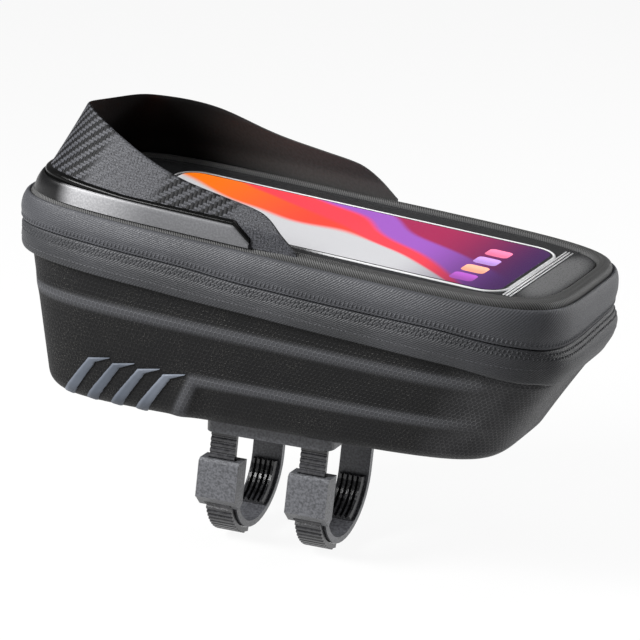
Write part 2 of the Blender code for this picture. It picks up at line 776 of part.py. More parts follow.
def make_mount(shell):
    """The plate under the floor, its counter plate inside and the four screws that join them."""
    outer = plate("mount_plate", PLATE_LENGTH, PLATE_WIDTH, 0.0, floor_level() - GAP)
    inner_foot = floor_level() + SHELL_WALL + GAP
    inner_top = inner_foot + INNER_PLATE_THICKNESS
    inner = plate("inner_plate", INNER_PLATE_LENGTH, INNER_PLATE_WIDTH, inner_foot, inner_top)
    head_top = GAP + SCREW_HEAD_HEIGHT
    for number, (x, y) in enumerate(screw_places(), 1):
        shank = cylinder(
            f"mount_screw_{number}", SCREW_RADIUS, (x, y, head_top / 2), (x, y, inner_top), "steel"
        )
        head = cylinder(f"screw_head_{number}", SCREW_HEAD_RADIUS, (x, y, GAP), (x, y, head_top), None, CUTTERS)
        join(shank, head)
        hole = cylinder(
            f"screw_hole_{number}", SCREW_RADIUS + HOLE_CLEARANCE, (x, y, -CUT_MARGIN),
            (x, y, inner_top + CUT_MARGIN), None, CUTTERS,
        )
        recess = cylinder(
            f"screw_recess_{number}", SCREW_HEAD_RADIUS + HOLE_CLEARANCE, (x, y, -CUT_MARGIN),
            (x, y, head_top + GAP), None, CUTTERS,
        )
        for target in (outer, shell, inner):
            cut(target, hole)
        cut(outer, recess)
    for number, middle in enumerate(clamp_places(), 1):
        legs = (("strap", strap_line(), STRAP_THICKNESS, STRAP_WIDTH), ("arm", arm_line(), ARM_THICKNESS, ARM_WIDTH))
        for leg, y, thickness, width in legs:
            low = (middle - width / 2 - GAP, y - thickness / 2 - GAP, -CUT_MARGIN)
            high = (middle + width / 2 + GAP, y + thickness / 2 + GAP, SLOT_DEPTH)
            cut(outer, box(f"{leg}_slot_{number}", low, high, None, CUTTERS))


# Strap clamps

def clamp_places():
    return (-CLAMP_SPACING / 2, CLAMP_SPACING / 2)


def strap_line():
    """Where the strap's near leg stands, measured across the bag."""
    return LOOP_CENTRE[0] - ARM_RADIUS - ARM_THICKNESS / 2 - STRAP_CLEARANCE - STRAP_THICKNESS / 2


def arm_line():
    return LOOP_CENTRE[0] + ARM_RADIUS


def loop_point(radius, degrees):
    """A point on the loop; 0 degrees is its far side and -90 its lowest point."""
    angle = radians(degrees)
    return (LOOP_CENTRE[0] + radius * cos(angle), LOOP_CENTRE[1] + radius * sin(angle))


def arm_outline():
    """Side view of the arm: up the far leg, round the bottom and into the buckle."""
    outer = ARM_RADIUS + ARM_THICKNESS / 2
    inner = ARM_RADIUS - ARM_THICKNESS / 2
    top = SLOT_DEPTH - GAP
    turns = [-180 * k / ARM_STEPS for k in range(ARM_STEPS + 1)]
    points = [(LOOP_CENTRE[0] + outer, top)]
    points += [loop_point(outer, a) for a in turns]
    points += [(LOOP_CENTRE[0] - outer, BUCKLE_TOP - 0.002), (LOOP_CENTRE[0] - inner, BUCKLE_TOP - 0.002)]
    points += [loop_point(inner, a) for a in reversed(turns)]
    points += [(LOOP_CENTRE[0] + inner, top)]
    return points


def strap_outline():
    """Side view of the strap: ribs across its outer face, from the plate to its tail."""
    inner = ARM_RADIUS + ARM_THICKNESS / 2 + STRAP_CLEARANCE
    outer = inner + STRAP_THICKNESS
    top = SLOT_DEPTH - GAP
    straight = top - LOOP_CENTRE[1]
    bend = radians(180 + STRAP_END_ANGLE) * outer
    count = int((straight + bend - 0.004) / STRAP_RIB_PITCH)
    def outer_point(distance, depth):
        if distance < straight:
            return (LOOP_CENTRE[0] - outer + depth, top - distance)
        return loop_point(outer - depth, -180 + (distance - straight) / outer * 180 / pi)
    points = [(LOOP_CENTRE[0] - inner, top), outer_point(0.0, STRAP_RIB)]
    for k in range(count):
        start = SLOT_DEPTH + k * STRAP_RIB_PITCH
        for share, depth in ((0.0, STRAP_RIB), (0.22, 0.0), (0.62, 0.0), (0.84, STRAP_RIB)):
            points.append(outer_point(start + share * STRAP_RIB_PITCH, depth))
    points.append(outer_point(straight + bend, STRAP_RIB))
    turns = [STRAP_END_ANGLE - (180 + STRAP_END_ANGLE) * k / 10 for k in range(11)]
    points += [loop_point(inner, a) for a in turns]
    return points


def buckle_outline():
    """Side view of the buckle block at the near end of the arm."""
    face = strap_line() - STRAP_THICKNESS / 2 - STRAP_CLEARANCE - BUCKLE_FACE
    back = LOOP_CENTRE[0] - ARM_RADIUS + ARM_THICKNESS / 2
    return [
        (face + BUCKLE_CHAMFER, BUCKLE_TOP), (back, BUCKLE_TOP), (back, BUCKLE_BOTTOM - 0.0010),
        (strap_line() + 0.0012, BUCKLE_BOTTOM - 0.0030), (face + 0.0016, BUCKLE_BOTTOM),
        (face, BUCKLE_BOTTOM + 0.0014), (face, BUCKLE_TOP - BUCKLE_CHAMFER),
    ]


def tunnel_outline():
    """Side view of the hollow that the strap runs through."""
    inner = ARM_RADIUS + ARM_THICKNESS / 2 - TUNNEL_BITE
    outer = inner + STRAP_THICKNESS + 2 * STRAP_CLEARANCE + TUNNEL_BITE
    turns = [-180 + 5 * k for k in range(14)]
    outline = [(LOOP_CENTRE[0] - inner, 0.0), (LOOP_CENTRE[0] - outer, 0.0)]
    outline += [loop_point(outer, a) for a in turns]
    outline += [loop_point(inner, a) for a in reversed(turns)]
    return outline


def loop_prism(name, outline, middle, width, look=None, collection=None):
    """A prism across one clamp, which leans a little below the plate."""
    thing = prism(name, outline, "X", middle - width / 2, middle + width / 2, look, collection)
    lean_loop(thing)
    return thing


def lean_loop(thing):
    for vertex in thing.data.vertices:
        vertex.co.x += min(0.0, vertex.co.z) * LOOP_LEAN


def make_clamp(number, middle):
    arm = loop_prism(f"clamp_arm_{number}", arm_outline(), middle, ARM_WIDTH, "hard_plastic")
    join(arm, loop_prism(f"buckle_block_{number}", buckle_outline(), middle, BUCKLE_WIDTH, None, CUTTERS))
    hollow = STRAP_WIDTH + 2 * STRAP_CLEARANCE
    cut(arm, loop_prism(f"tunnel_{number}", tunnel_outline(), middle, hollow, None, CUTTERS))
    loop_prism(f"ratchet_strap_{number}", strap_outline(), middle, STRAP_WIDTH, "strap_rubber")
    make_pad(number, middle)


def make_pad(number, middle):
    """The rubber grip on the inner face of the far leg, with ribs along its length."""
    surface = ARM_RADIUS - ARM_THICKNESS / 2 - GAP
    section = [(-PAD_WIDTH / 2, 0.0)]
    pitch = PAD_WIDTH / PAD_RIB_COUNT
    for k in range(PAD_RIB_COUNT):
        start = -PAD_WIDTH / 2 + k * pitch
        for share, rise in ((0.12, 0.0), (0.28, 1.0), (0.72, 1.0), (0.88, 0.0)):
            section.append((start + share * pitch, PAD_BASE + rise * PAD_RIB_HEIGHT))
    section.append((PAD_WIDTH / 2, 0.0))
    rings = []
    for k in range(PAD_STEPS + 1):
        degrees = PAD_START_ANGLE + (PAD_END_ANGLE - PAD_START_ANGLE) * k / PAD_STEPS
        rings.append([(middle + x, *loop_point(surface - rise, degrees)) for x, rise in section])
    lean_loop(loft(f"grip_pad_{number}", rings, "strap_rubber"))


# Zip slider

def make_slider():
    """The slider's outer plate and bridge, and the puller that hangs from the bridge."""
    back = LID_WIDTH / 2 + SLIDER_STANDOFF
    level = SEAM_HEIGHT - ZIP_DROP
    middle = SLIDER_START + BAG_AHEAD
    plate_top = back + SLIDER_PLATE
    opening_length, opening_depth = BRIDGE_OPENING
    slider = box(
        "zip_slider", (middle - SLIDER_LENGTH / 2, back, level - SLIDER_HEIGHT / 2),
        (middle + SLIDER_LENGTH / 2, plate_top, level + SLIDER_HEIGHT / 2), "steel",
    )
    bar_top = plate_top + opening_depth + BRIDGE_BAR
    bridge = box(
        "bridge", (middle - BRIDGE_LENGTH / 2, plate_top - 0.0008, level - BRIDGE_BAR / 2),
        (middle + BRIDGE_LENGTH / 2, bar_top, level + BRIDGE_BAR / 2), None, CUTTERS,
    )
    opening = box(
        "bridge_opening", (middle - opening_length / 2, plate_top, level - CUT_MARGIN),
        (middle + opening_length / 2, plate_top + opening_depth, level + CUT_MARGIN), None, CUTTERS,
    )
    join(slider, bridge)
    cut(slider, opening)
    pivot = Vector((middle, plate_top + opening_depth + BRIDGE_BAR / 2, level))
    return slider, make_puller(pivot), pivot


def make_puller(pivot):
    """A flat tongue with an eye round the bridge's bar."""
    ring = PULLER_EYE + PULLER_RING
    half = PULLER_THICKNESS / 2
    outline = [(half, -PULLER_LENGTH + half), (0.0, -PULLER_LENGTH), (-half, -PULLER_LENGTH + half)]
    start = atan2(-sqrt(ring ** 2 - half ** 2), -half)
    stop = atan2(-sqrt(ring ** 2 - half ** 2), half)
    span = 2 * pi - (stop - start)
    steps = 16
    for k in range(steps + 1):
        angle = start - span * k / steps
        outline.append((ring * cos(angle), ring * sin(angle)))
    placed = [(pivot.y + y, pivot.z + z) for y, z in outline]
    low = pivot.x - PULLER_WIDTH / 2
    high = pivot.x + PULLER_WIDTH / 2
    puller = prism("zip_puller", placed, "X", low, high, "strap_rubber")
    eye = bmesh.new()
    bmesh.ops.create_cone(
        eye, cap_ends=True, segments=SCREW_SIDES, radius1=PULLER_EYE, radius2=PULLER_EYE,
        depth=PULLER_WIDTH * 2,
    )
    bmesh.ops.transform(eye, matrix=Matrix.Rotation(pi / 2, 4, "Y"), verts=eye.verts)
    bmesh.ops.translate(eye, vec=pivot, verts=eye.verts)
    cut(puller, finish_mesh("puller_eye", eye, None, CUTTERS))
    return puller


def hang_on(name, place, things):
    """Parents things to an empty that stands on their joint's axis."""
    axis = bpy.data.objects.new(name, None)
    axis.location = LEAN @ Vector(place)
    PARTS.objects.link(axis)
    bpy.context.view_layer.update()
    for thing in things:
        thing.parent = axis
        thing.matrix_parent_inverse = axis.matrix_world.inverted()


def turn_level():
    """Turns what has been made so far about Y, so that the shell's floor is level."""
    for thing in list(PARTS.objects) + list(CUTTERS.objects):
        thing.data.transform(LEAN)


LEAN_ANGLE = atan(FLOOR_TILT)
LEAN = Matrix.Rotation(LEAN_ANGLE, 4, "Y")
LID_NODES = (
    "upper_band", "zip_coil_upper", "lid_rim", "lid_frame", "phone_pocket_backing", "window_film",
    "phone", "phone_screen", "visor_base", "sun_visor",
)

clear_scene()
PARTS = make_collection("handlebar_bag")
CUTTERS = make_collection("cutters")
ANGLES = outline_angles(STATION_COUNT)
make_bands()
lower_shell = make_shell()
make_chevrons()
make_rim()
make_lid_frame()
make_window()
make_phone()
make_trim()
make_visor()
slider_part, puller_part, pivot_point = make_slider()
turn_level()
make_mount(lower_shell)
for clamp_number, clamp_middle in enumerate(clamp_places(), 1):
    make_clamp(clamp_number, clamp_middle)
hinge_place = (BAG_AHEAD - LID_LENGTH / 2 - 0.0005, 0, SEAM_HEIGHT - ZIP_DROP)
hang_on("lid_hinge", hinge_place, [bpy.data.objects[name] for name in LID_NODES])
hang_on("slider_track", (SLIDER_START, LID_WIDTH / 2, SEAM_HEIGHT - ZIP_DROP), [slider_part])
hang_on("puller_pivot", pivot_point, [puller_part])
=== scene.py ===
"""Looks of the handlebar bag: moulded shell, fabric bands with the zip, rim, phone window, visor and clamps.

Lengths are in metres. The bag's pieces are made with the lid level, as the part's source makes them,
and TURN then brings them into the frame's axes, where the shell's floor is level.
"""

from math import atan, cos, exp, pi, radians, sin, sqrt

import bmesh
import bpy
import numpy as np
from mathutils import Matrix, Vector, noise


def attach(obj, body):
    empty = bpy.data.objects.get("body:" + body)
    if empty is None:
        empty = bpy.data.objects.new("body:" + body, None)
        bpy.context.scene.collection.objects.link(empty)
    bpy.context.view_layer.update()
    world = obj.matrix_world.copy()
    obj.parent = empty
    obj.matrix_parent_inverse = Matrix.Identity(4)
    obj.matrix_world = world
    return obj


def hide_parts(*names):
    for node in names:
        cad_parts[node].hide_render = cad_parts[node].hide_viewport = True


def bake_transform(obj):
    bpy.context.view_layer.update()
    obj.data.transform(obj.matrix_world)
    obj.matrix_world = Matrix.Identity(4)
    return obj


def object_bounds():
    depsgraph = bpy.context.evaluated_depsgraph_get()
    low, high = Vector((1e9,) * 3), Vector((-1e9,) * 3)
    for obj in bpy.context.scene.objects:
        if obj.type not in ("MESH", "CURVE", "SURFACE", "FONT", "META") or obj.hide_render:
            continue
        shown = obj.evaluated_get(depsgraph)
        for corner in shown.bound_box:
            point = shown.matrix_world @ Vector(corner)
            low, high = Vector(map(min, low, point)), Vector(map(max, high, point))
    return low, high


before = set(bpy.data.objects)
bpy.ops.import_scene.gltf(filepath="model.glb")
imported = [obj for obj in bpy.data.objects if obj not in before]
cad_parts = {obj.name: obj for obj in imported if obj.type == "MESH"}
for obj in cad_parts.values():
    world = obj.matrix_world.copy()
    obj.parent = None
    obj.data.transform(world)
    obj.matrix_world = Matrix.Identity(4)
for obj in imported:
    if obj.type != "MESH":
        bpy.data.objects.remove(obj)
CAD_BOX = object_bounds()

# Sizes shared with the part's source
GAP = 0.0003
FABRIC = 0.0016
SHELL_WALL = 0.003
LID_LENGTH = 0.214
LID_WIDTH = 0.098
CORNER_POWER = 5.0
BAG_AHEAD = 0.0015
SHELL_DEPTH = 0.0713
SEAM_HEIGHT = 0.0067 + SHELL_DEPTH
ZIP_DROP = 0.014
ZIP_SLIT = 0.0006
BAND_DEPTH = 0.0235
BAND_TILT = -0.014
BAND_END_DROP = 0.0034
BAND_END_START = 0.070
BAND_BULGE = 0.0014
BAND_TUCK = 0.0009
BAND_AT_ZIP = 0.0004
SHELL_TOP_DROP = 0.0165
FLOOR_TILT = 0.078
SHELL_TOP_INSET = 0.003
HINGE_END_SLOPE = 0.0100
SLOPED_END_SLOPE = 0.0190
END_BULGE = 0.0020
END_BULGE_SHARE = 0.08
SIDE_SLOPE = 0.0094
FLOOR_ROUND = 0.007
FLOOR_ROUND_SHARE = 0.14
RIB_HEIGHT = 0.0013
RIB_WIDTH = 0.0031
RIB_FADE = 0.006
UPPER_RIB_DROP = 0.0338
UPPER_RIB_TILT = 0.025
LOWER_RIB_START = (0.0735 - LID_LENGTH / 2, -0.0740)
LOWER_RIB_BEND = (0.0810 - LID_LENGTH / 2, -0.0558)
LOWER_RIB_END = (LID_LENGTH / 2 - 0.0235, -0.0483)
CHEVRON_COUNT = 4
CHEVRON_PITCH = 0.0105
CHEVRON_THICKNESS = 0.0005
CHEVRON_TOP = (0.0370, -0.0575)
CHEVRON_FOOT = (0.0248, -0.0745)
CHEVRON_TIP = (0.0465, -0.0551)
CHEVRON_WIDTH = 0.0047
HINGE_LEDGE = 0.0020
RIM_LEDGE = 0.0036
RIM_WIDTH = 0.0066
RIM_CROWN = 0.0021
RIM_DEPTH = 0.0024
LEDGE_HEIGHT = 0.0006
FILM_HEIGHT = 0.0010
FRAME_TOP = 0.0006
PHONE_LENGTH = 0.154
PHONE_WIDTH = 0.066
PHONE_THICKNESS = 0.0078
PHONE_CORNER = 0.010
PHONE_CENTRE = (0.0070, -0.0015)
TRIM_INSET = 0.0006
TRIM_THICKNESS = 0.0010
TRIM_HEIGHT = 0.0063
TRIM_END = -0.0050
TRIM_CHAMFER = 0.0085
TRIM_END_HEIGHT = 0.0006
VISOR_THICKNESS = 0.0012
VISOR_END = 0.0145
VISOR_SIDE_LEAN = 0.45
VISOR_FRONT_LEAN = 0.60
VISOR_LEAN_START = -0.058
VISOR_LEAN_POWER = 2.4
VISOR_SKEW = 0.165
VISOR_LEAST = 0.0006
VISOR_EDGE = (
    (0.0145, 0.0), (0.0095, 0.0040), (-0.0015, 0.0128), (-0.0075, 0.0143), (-0.0130, 0.0150),
    (-0.0380, 0.0183), (-0.0500, 0.0217), (-0.0620, 0.0260), (-0.0730, 0.0284), (-0.0830, 0.0302),
    (-0.0930, 0.0310), (-0.1100, 0.0310),
)
HINGE_HALF_WIDTH = 0.030
TURN = Matrix.Rotation(atan(FLOOR_TILT), 4, "Y")
TURN_ARRAY = np.array(TURN.to_3x3())


# Camera, matched to the photograph

VIEW_AZIMUTH, VIEW_ELEVATION, VIEW_ROLL = radians(22.0), radians(18.0), radians(6.4)
IMAGE_SIZE = 640
FOCAL_PIXELS = 2900.0
DISTANCE = 1.062
TARGET_PIXEL = (319.5, 225.3)


def make_camera():
    """A camera that sees the seam's centre at its place in the photograph."""
    azimuth, elevation, roll = VIEW_AZIMUTH, VIEW_ELEVATION, VIEW_ROLL
    back = Vector((sin(azimuth) * cos(elevation), -cos(azimuth) * cos(elevation), sin(elevation)))
    right = Vector((cos(azimuth), sin(azimuth), 0))
    up = back.cross(right)
    across = right * cos(roll) + up * sin(roll)
    rise = -right * sin(roll) + up * cos(roll)
    pixel = DISTANCE / FOCAL_PIXELS
    place = Vector((BAG_AHEAD, 0, SEAM_HEIGHT)) + back * DISTANCE
    place -= across * (TARGET_PIXEL[0] - IMAGE_SIZE / 2) * pixel
    place += rise * (TARGET_PIXEL[1] - IMAGE_SIZE / 2) * pixel
    data = bpy.data.cameras.new("camera")
    data.sensor_width = 36
    data.lens = data.sensor_width * FOCAL_PIXELS / IMAGE_SIZE
    camera = bpy.data.objects.new("camera", data)
    columns = (across, rise, back, place)
    camera.matrix_world = TURN @ Matrix([[c[row] for c in columns] for row in range(3)] + [(0, 0, 0, 1)])
    bpy.context.scene.collection.objects.link(camera)
    bpy.context.scene.camera = camera
    bpy.context.scene.view_settings.view_transform = "Standard"


# Materials

class Graph:
    """A material whose nodes are added by short calls."""

    def __init__(self, name, colour=(0.5, 0.5, 0.5), roughness=0.5, metallic=0.0):
        self.material = bpy.data.materials.new(name)
        self.material.use_nodes = True
        self.tree = self.material.node_tree
        self.shader = self.tree.nodes["Principled BSDF"]
        self.put("Base Color", (*colour, 1.0))
        self.put("Roughness", roughness)
        self.put("Metallic", metallic)

    def fill(self, node, socket, value):
        if isinstance(value, bpy.types.NodeSocket):
            self.tree.links.new(value, node.inputs[socket])
        else:
            node.inputs[socket].default_value = value

    def put(self, socket, value):
        self.fill(self.shader, socket, value)

    def node(self, kind, sockets=None, out=0, **settings):
        made = self.tree.nodes.new("ShaderNode" + kind)
        for key, value in settings.items():
            setattr(made, key, value)
        for socket, value in (sockets or {}).items():
            self.fill(made, socket, value)
        return made.outputs[out]

    def math(self, operation, *values):
        return self.node("Math", dict(enumerate(values)), operation=operation)

    def vector(self, operation, *values, out=0):
        return self.node("VectorMath", dict(enumerate(values)), out=out, operation=operation)

    def uv(self):
        """Distance along and across the piece, in metres."""
        return self.node("UVMap", uv_map="pattern")

    def place(self):
        return self.node("TexCoord", out=3)

    def split(self, vector):
        made = self.tree.nodes.new("ShaderNodeSeparateXYZ")
        self.fill(made, 0, vector)
        return made.outputs[0], made.outputs[1], made.outputs[2]

    def join(self, x, y, z=0.0):
        return self.node("CombineXYZ", {0: x, 1: y, 2: z})

    def noise(self, vector, scale, detail=2.0, roughness=0.5):
        return self.node("TexNoise", {"Vector": vector, "Scale": scale, "Detail": detail, "Roughness": roughness})

    def blend(self, share, low, high):
        """A colour between two, by a share."""
        sockets = {0: share, 6: (*low, 1.0) if isinstance(low, tuple) else low,
                   7: (*high, 1.0) if isinstance(high, tuple) else high}
        return self.node("Mix", sockets, out=2, data_type="RGBA")

    def ramp(self, value, low, high, out_low=0.0, out_high=1.0, smooth=True):
        return self.node(
            "MapRange", {0: value, 1: low, 2: high, 3: out_low, 4: out_high},
            interpolation_type="SMOOTHSTEP" if smooth else "LINEAR",
        )

    def bump(self, *layers):
        """Adds bumps one on another. Each layer is (height, distance, strength)."""
        normal = None
        for height, distance, strength in layers:
            sockets = {"Strength": strength, "Distance": distance, "Height": height}
            if normal is not None:
                sockets["Normal"] = normal
            normal = self.node("Bump", sockets)
        self.put("Normal", normal)


def woven_shell(name):
    """Near-black moulded foam under a knit of small hexagons, paler on the ridges."""
    g = Graph(name, roughness=0.6)
    raised = g.node("Attribute", out=2, attribute_name="raised")
    cell = g.vector("MULTIPLY", g.uv(), (1 / 0.0019, 1 / 0.0019, 0.0))
    step = (1.0, sqrt(3), 1.0)
    half = (0.5, sqrt(3) / 2, 0.5)
    shifts = ((1000.0, 1000.0 * sqrt(3), 0.0), (1000.5, 1000.5 * sqrt(3), 0.0))
    edges = []
    for shift in shifts:
        point = g.vector("ABSOLUTE", g.vector("SUBTRACT", g.vector("MODULO", g.vector("ADD", cell, shift), step), half))
        slanted = g.vector("DOT_PRODUCT", point, (0.5, sqrt(3) / 2, 0.0), out=1)
        edges.append(g.math("MAXIMUM", g.split(point)[0], slanted))
    line = g.ramp(g.math("MINIMUM", *edges), 0.36, 0.48)
    thread = g.noise(g.vector("MULTIPLY", g.uv(), (1500.0, 2300.0, 1.0)), 1.0, 2.0, 0.6)
    patch = g.noise(g.uv(), 45.0, 3.0, 0.6)
    # Painted glints: pale specks on the threads, in patches, put into the base colour.
    spark = g.math("MULTIPLY", g.ramp(thread, 0.56, 0.74), g.ramp(patch, 0.35, 0.68, 0.12, 1.0))
    valley = g.blend(line, (0.0030, 0.0030, 0.0034), (0.0080, 0.0080, 0.0085))
    ridge = g.blend(line, (0.054, 0.055, 0.060), (0.090, 0.092, 0.100))
    base = g.blend(g.ramp(raised, 0.25, 0.95), valley, ridge)
    # Painted sheen: the foam turns paler towards the sloped end, in patches.
    from_end = g.math("ABSOLUTE", g.math("SUBTRACT", g.split(g.uv())[0], PERIMETER / 2))
    sheen_painted_end = g.blend(line, (0.052, 0.052, 0.055), (0.125, 0.125, 0.130))
    base = g.blend(g.math("MULTIPLY", g.ramp(from_end, 0.046, 0.072, 1.0, 0.0), g.ramp(patch, 0.25, 0.6, 0.4, 0.9)), base, sheen_painted_end)
    g.put("Base Color", g.blend(g.math("MULTIPLY", spark, 0.85), base, (0.110, 0.106, 0.096)))
    g.put("Roughness", g.ramp(thread, 0.35, 0.7, 0.66, 0.44))
    g.put("Specular IOR Level", 0.2)
    g.bump((line, 0.00022, 0.6), (thread, 0.00014, 0.55))
    return g.material


def lining(name):
    g = Graph(name, roughness=0.8)
    x, y, _ = g.split(g.uv())
    weave = g.math("MULTIPLY", g.math("SINE", g.math("MULTIPLY", x, 5200.0)), g.math("SINE", g.math("MULTIPLY", y, 5200.0)))
    g.put("Base Color", g.blend(g.ramp(weave, -0.6, 0.6), (0.020, 0.021, 0.023), (0.040, 0.041, 0.044)))
    g.bump((weave, 0.0001, 0.5))
    return g.material


def coated(name, low, high, twill=1.0, roughness=0.46):
    """Coated fabric: a fine diagonal twill under a satin skin, with soft mottling."""
    g = Graph(name, roughness=roughness)
    x, y, _ = g.split(g.uv())
    wobble = g.math("MULTIPLY", g.noise(g.uv(), 700.0, 2.0), 0.0010)
    along = g.math("ADD", g.math("ADD", x, g.math("MULTIPLY", y, 1.1)), wobble)
    diagonal = g.math("SINE", g.math("MULTIPLY", along, 2 * pi / 0.00125))
    grain = g.noise(g.uv(), 1900.0, 3.0, 0.6)
    mottle = g.noise(g.place(), 30.0, 3.0, 0.5)
    share = g.math("ADD", g.ramp(mottle, 0.3, 0.7, 0.0, 0.45), g.ramp(grain, 0.38, 0.66, 0.0, 0.35))
    share = g.math("ADD", share, g.ramp(diagonal, -1.0, 1.0, 0.0, 0.2))
    g.put("Base Color", g.blend(share, low, high))
    g.put("Roughness", g.ramp(grain, 0.3, 0.7, roughness + 0.10, roughness - 0.07))
    g.put("Specular IOR Level", 0.30)
    g.bump((diagonal, 0.00008, 0.6 * twill), (grain, 0.00013, 0.6))
    return g.material


def ribbed(name):
    """The rim's fabric, with narrow slanted ribs."""
    g = Graph(name, roughness=0.55)
    x, y, _ = g.split(g.uv())
    along = g.math("ADD", x, g.math("MULTIPLY", y, 0.6))
    rib = g.math("SINE", g.math("MULTIPLY", along, 2 * pi / 0.00095))
    grain = g.noise(g.uv(), 2400.0, 3.0, 0.6)
    g.put("Base Color", g.blend(g.ramp(rib, -0.8, 0.9), (0.022, 0.022, 0.022), (0.100, 0.100, 0.099)))
    g.put("Roughness", g.ramp(grain, 0.3, 0.7, 0.62, 0.45))
    g.put("Specular IOR Level", 0.35)
    g.bump((rib, 0.00014, 0.6), (grain, 0.00010, 0.5))
    return g.material


def carbon(name):
    """A two over, two under twill of flat tows. In some slanted bands the crossing tows are painted dark, as painted
    shade, and each tow is painted paler along its crown, as a painted highlight.
    """
    g = Graph(name, roughness=0.36)
    x, y, _ = g.split(g.uv())
    i = g.math("DIVIDE", x, 0.00150)
    j = g.math("DIVIDE", y, 0.00112)
    turn = g.math("FLOORED_MODULO", g.math("SUBTRACT", g.math("FLOOR", i), g.math("FLOOR", j)), 4.0)
    upright = g.math("LESS_THAN", turn, 1.5)
    def round_over(value):
        part = g.math("SUBTRACT", g.math("FRACT", value), 0.5)
        return g.math("SUBTRACT", 1.0, g.math("MULTIPLY", g.math("MULTIPLY", part, part), 4.0))
    height = g.node("Mix", {0: upright, 2: round_over(j), 3: round_over(i)}, data_type="FLOAT")
    fine_up = g.noise(g.vector("MULTIPLY", g.uv(), (3200.0, 1500.0, 1.0)), 1.0, 2.0)
    fine_flat = g.noise(g.vector("MULTIPLY", g.uv(), (1500.0, 3200.0, 1.0)), 1.0, 2.0)
    fine = g.node("Mix", {0: upright, 2: fine_flat, 3: fine_up}, data_type="FLOAT")
    # Painted shade: slanted bands in which the crossing tows are painted dark.
    across = g.math("SUBTRACT", 3.57, g.math("MULTIPLY", y, 40.0))
    sweep = g.math("SINE", g.math("ADD", g.math("MULTIPLY", g.math("ABSOLUTE", x), 99.7), across))
    painted_shade_band = g.ramp(sweep, -0.30, 0.25)
    # Painted highlight: the tone rises along each tow's crown.
    tone = g.math("ADD", g.ramp(fine, 0.42, 0.60, 0.0, 0.75), g.ramp(height, 0.0, 0.8, 0.0, 0.25))
    dark = g.blend(tone, (0.0010, 0.0010, 0.0014), (0.006, 0.0062, 0.0072))
    quiet = g.blend(tone, (0.004, 0.0041, 0.0048), (0.105, 0.107, 0.118))
    light = g.blend(tone, (0.012, 0.0124, 0.0142), (0.095, 0.097, 0.108))
    g.put("Base Color", g.blend(upright, light, g.blend(painted_shade_band, quiet, dark)))
    g.put("Roughness", g.math("ADD", g.math("MULTIPLY", upright, 0.08), 0.42))
    g.put("Specular IOR Level", 0.12)
    g.bump((height, 0.00010, g.ramp(painted_shade_band, 0.0, 1.0, 0.35, 0.9)), (fine, 0.00010, 0.8))
    return g.material


def plastic(name, low, high, roughness, speckle, coat=0.0, metallic=0.0, grain_scale=900.0, gloss=0.25, mottle=45.0):
    """Moulded plastic: slight mottling, a fine spark texture and paler convex edges, which are a painted highlight."""
    g = Graph(name, roughness=roughness, metallic=metallic)
    fine = g.noise(g.place(), grain_scale, 2.0, 0.6)
    broad = g.noise(g.place(), mottle, 3.0, 0.55)
    # Painted highlight: convex edges are painted paler.
    edge_sheen = g.ramp(g.node("NewGeometry", out=7), 0.505, 0.56)
    share = g.math("ADD", g.ramp(broad, 0.3, 0.7, 0.0, 0.7), g.math("MULTIPLY", edge_sheen, 0.35))
    g.put("Base Color", g.blend(share, low, high))
    g.put("Roughness", g.ramp(fine, 0.3, 0.7, roughness + 0.07, roughness - 0.05))
    g.put("Specular IOR Level", gloss)
    g.put("Coat Weight", coat)
    g.put("Coat Roughness", 0.05)
    g.bump((fine, 0.00010, max(0.08, speckle)))
    return g.material


def screen_picture(name):
    """Plain warm waves in a layout of its own, lit from behind."""
    g = Graph(name, roughness=0.12)
    x, y, _ = g.split(g.uv())
    bend = g.math("MULTIPLY", g.noise(g.uv(), 14.0, 1.0), 0.050)
    def wave(slope, rise, pitch, height):
        curve = g.math("MULTIPLY", g.math("SINE", g.math("ADD", g.math("DIVIDE", x, pitch), rise)), height)
        return g.math("SUBTRACT", g.math("ADD", g.math("ADD", y, g.math("MULTIPLY", x, slope)), curve), bend)
    colour = g.blend(g.ramp(x, 0.0, 0.070), (1.0, 0.20, 0.0), (1.0, 0.055, 0.030))
    colour = g.blend(g.ramp(wave(0.42, 0.5, 0.020, 0.006), 0.030, 0.034), (0.62, 0.62, 0.64), colour)
    colour = g.blend(g.ramp(wave(0.62, 2.0, 0.028, 0.005), 0.050, 0.053), colour, (1.0, 0.050, 0.075))
    colour = g.blend(g.ramp(wave(0.75, 1.0, 0.024, 0.004), 0.072, 0.078), colour, (0.36, 0.10, 0.55))
    colour = g.blend(g.ramp(wave(0.55, 3.1, 0.030, 0.004), 0.076, 0.082), colour, (0.40, 0.010, 0.085))
    colour = g.blend(g.ramp(x, 0.105, 0.150), colour, (0.045, 0.004, 0.085))
    g.put("Base Color", g.blend(0.80, colour, (0.0, 0.0, 0.0)))
    g.put("Emission Color", colour)
    g.put("Emission Strength", 0.92)
    g.put("Roughness", 0.25)
    g.put("Specular IOR Level", 0.08)
    return g.material


def clear_film(name):
    """Thin clear film: mostly seen through, with a faint gloss and soft ripples."""
    g = Graph(name, colour=(0.9, 0.92, 0.95), roughness=0.06)
    ripple = g.noise(g.place(), 30.0, 2.0)
    g.put("Alpha", 0.012)
    g.put("Specular IOR Level", 0.12)
    g.put("Base Color", g.blend(ripple, (0.80, 0.83, 0.88), (0.95, 0.96, 1.0)))
    g.put("Roughness", g.ramp(ripple, 0.3, 0.7, 0.04, 0.10))
    g.bump((ripple, 0.0006, 0.25))
    return g.material


# Outline of the bag

def ease(share):
    return share * share * (3 - 2 * share)


def signed_power(value, power):
    return np.sign(value) * np.abs(value) ** power


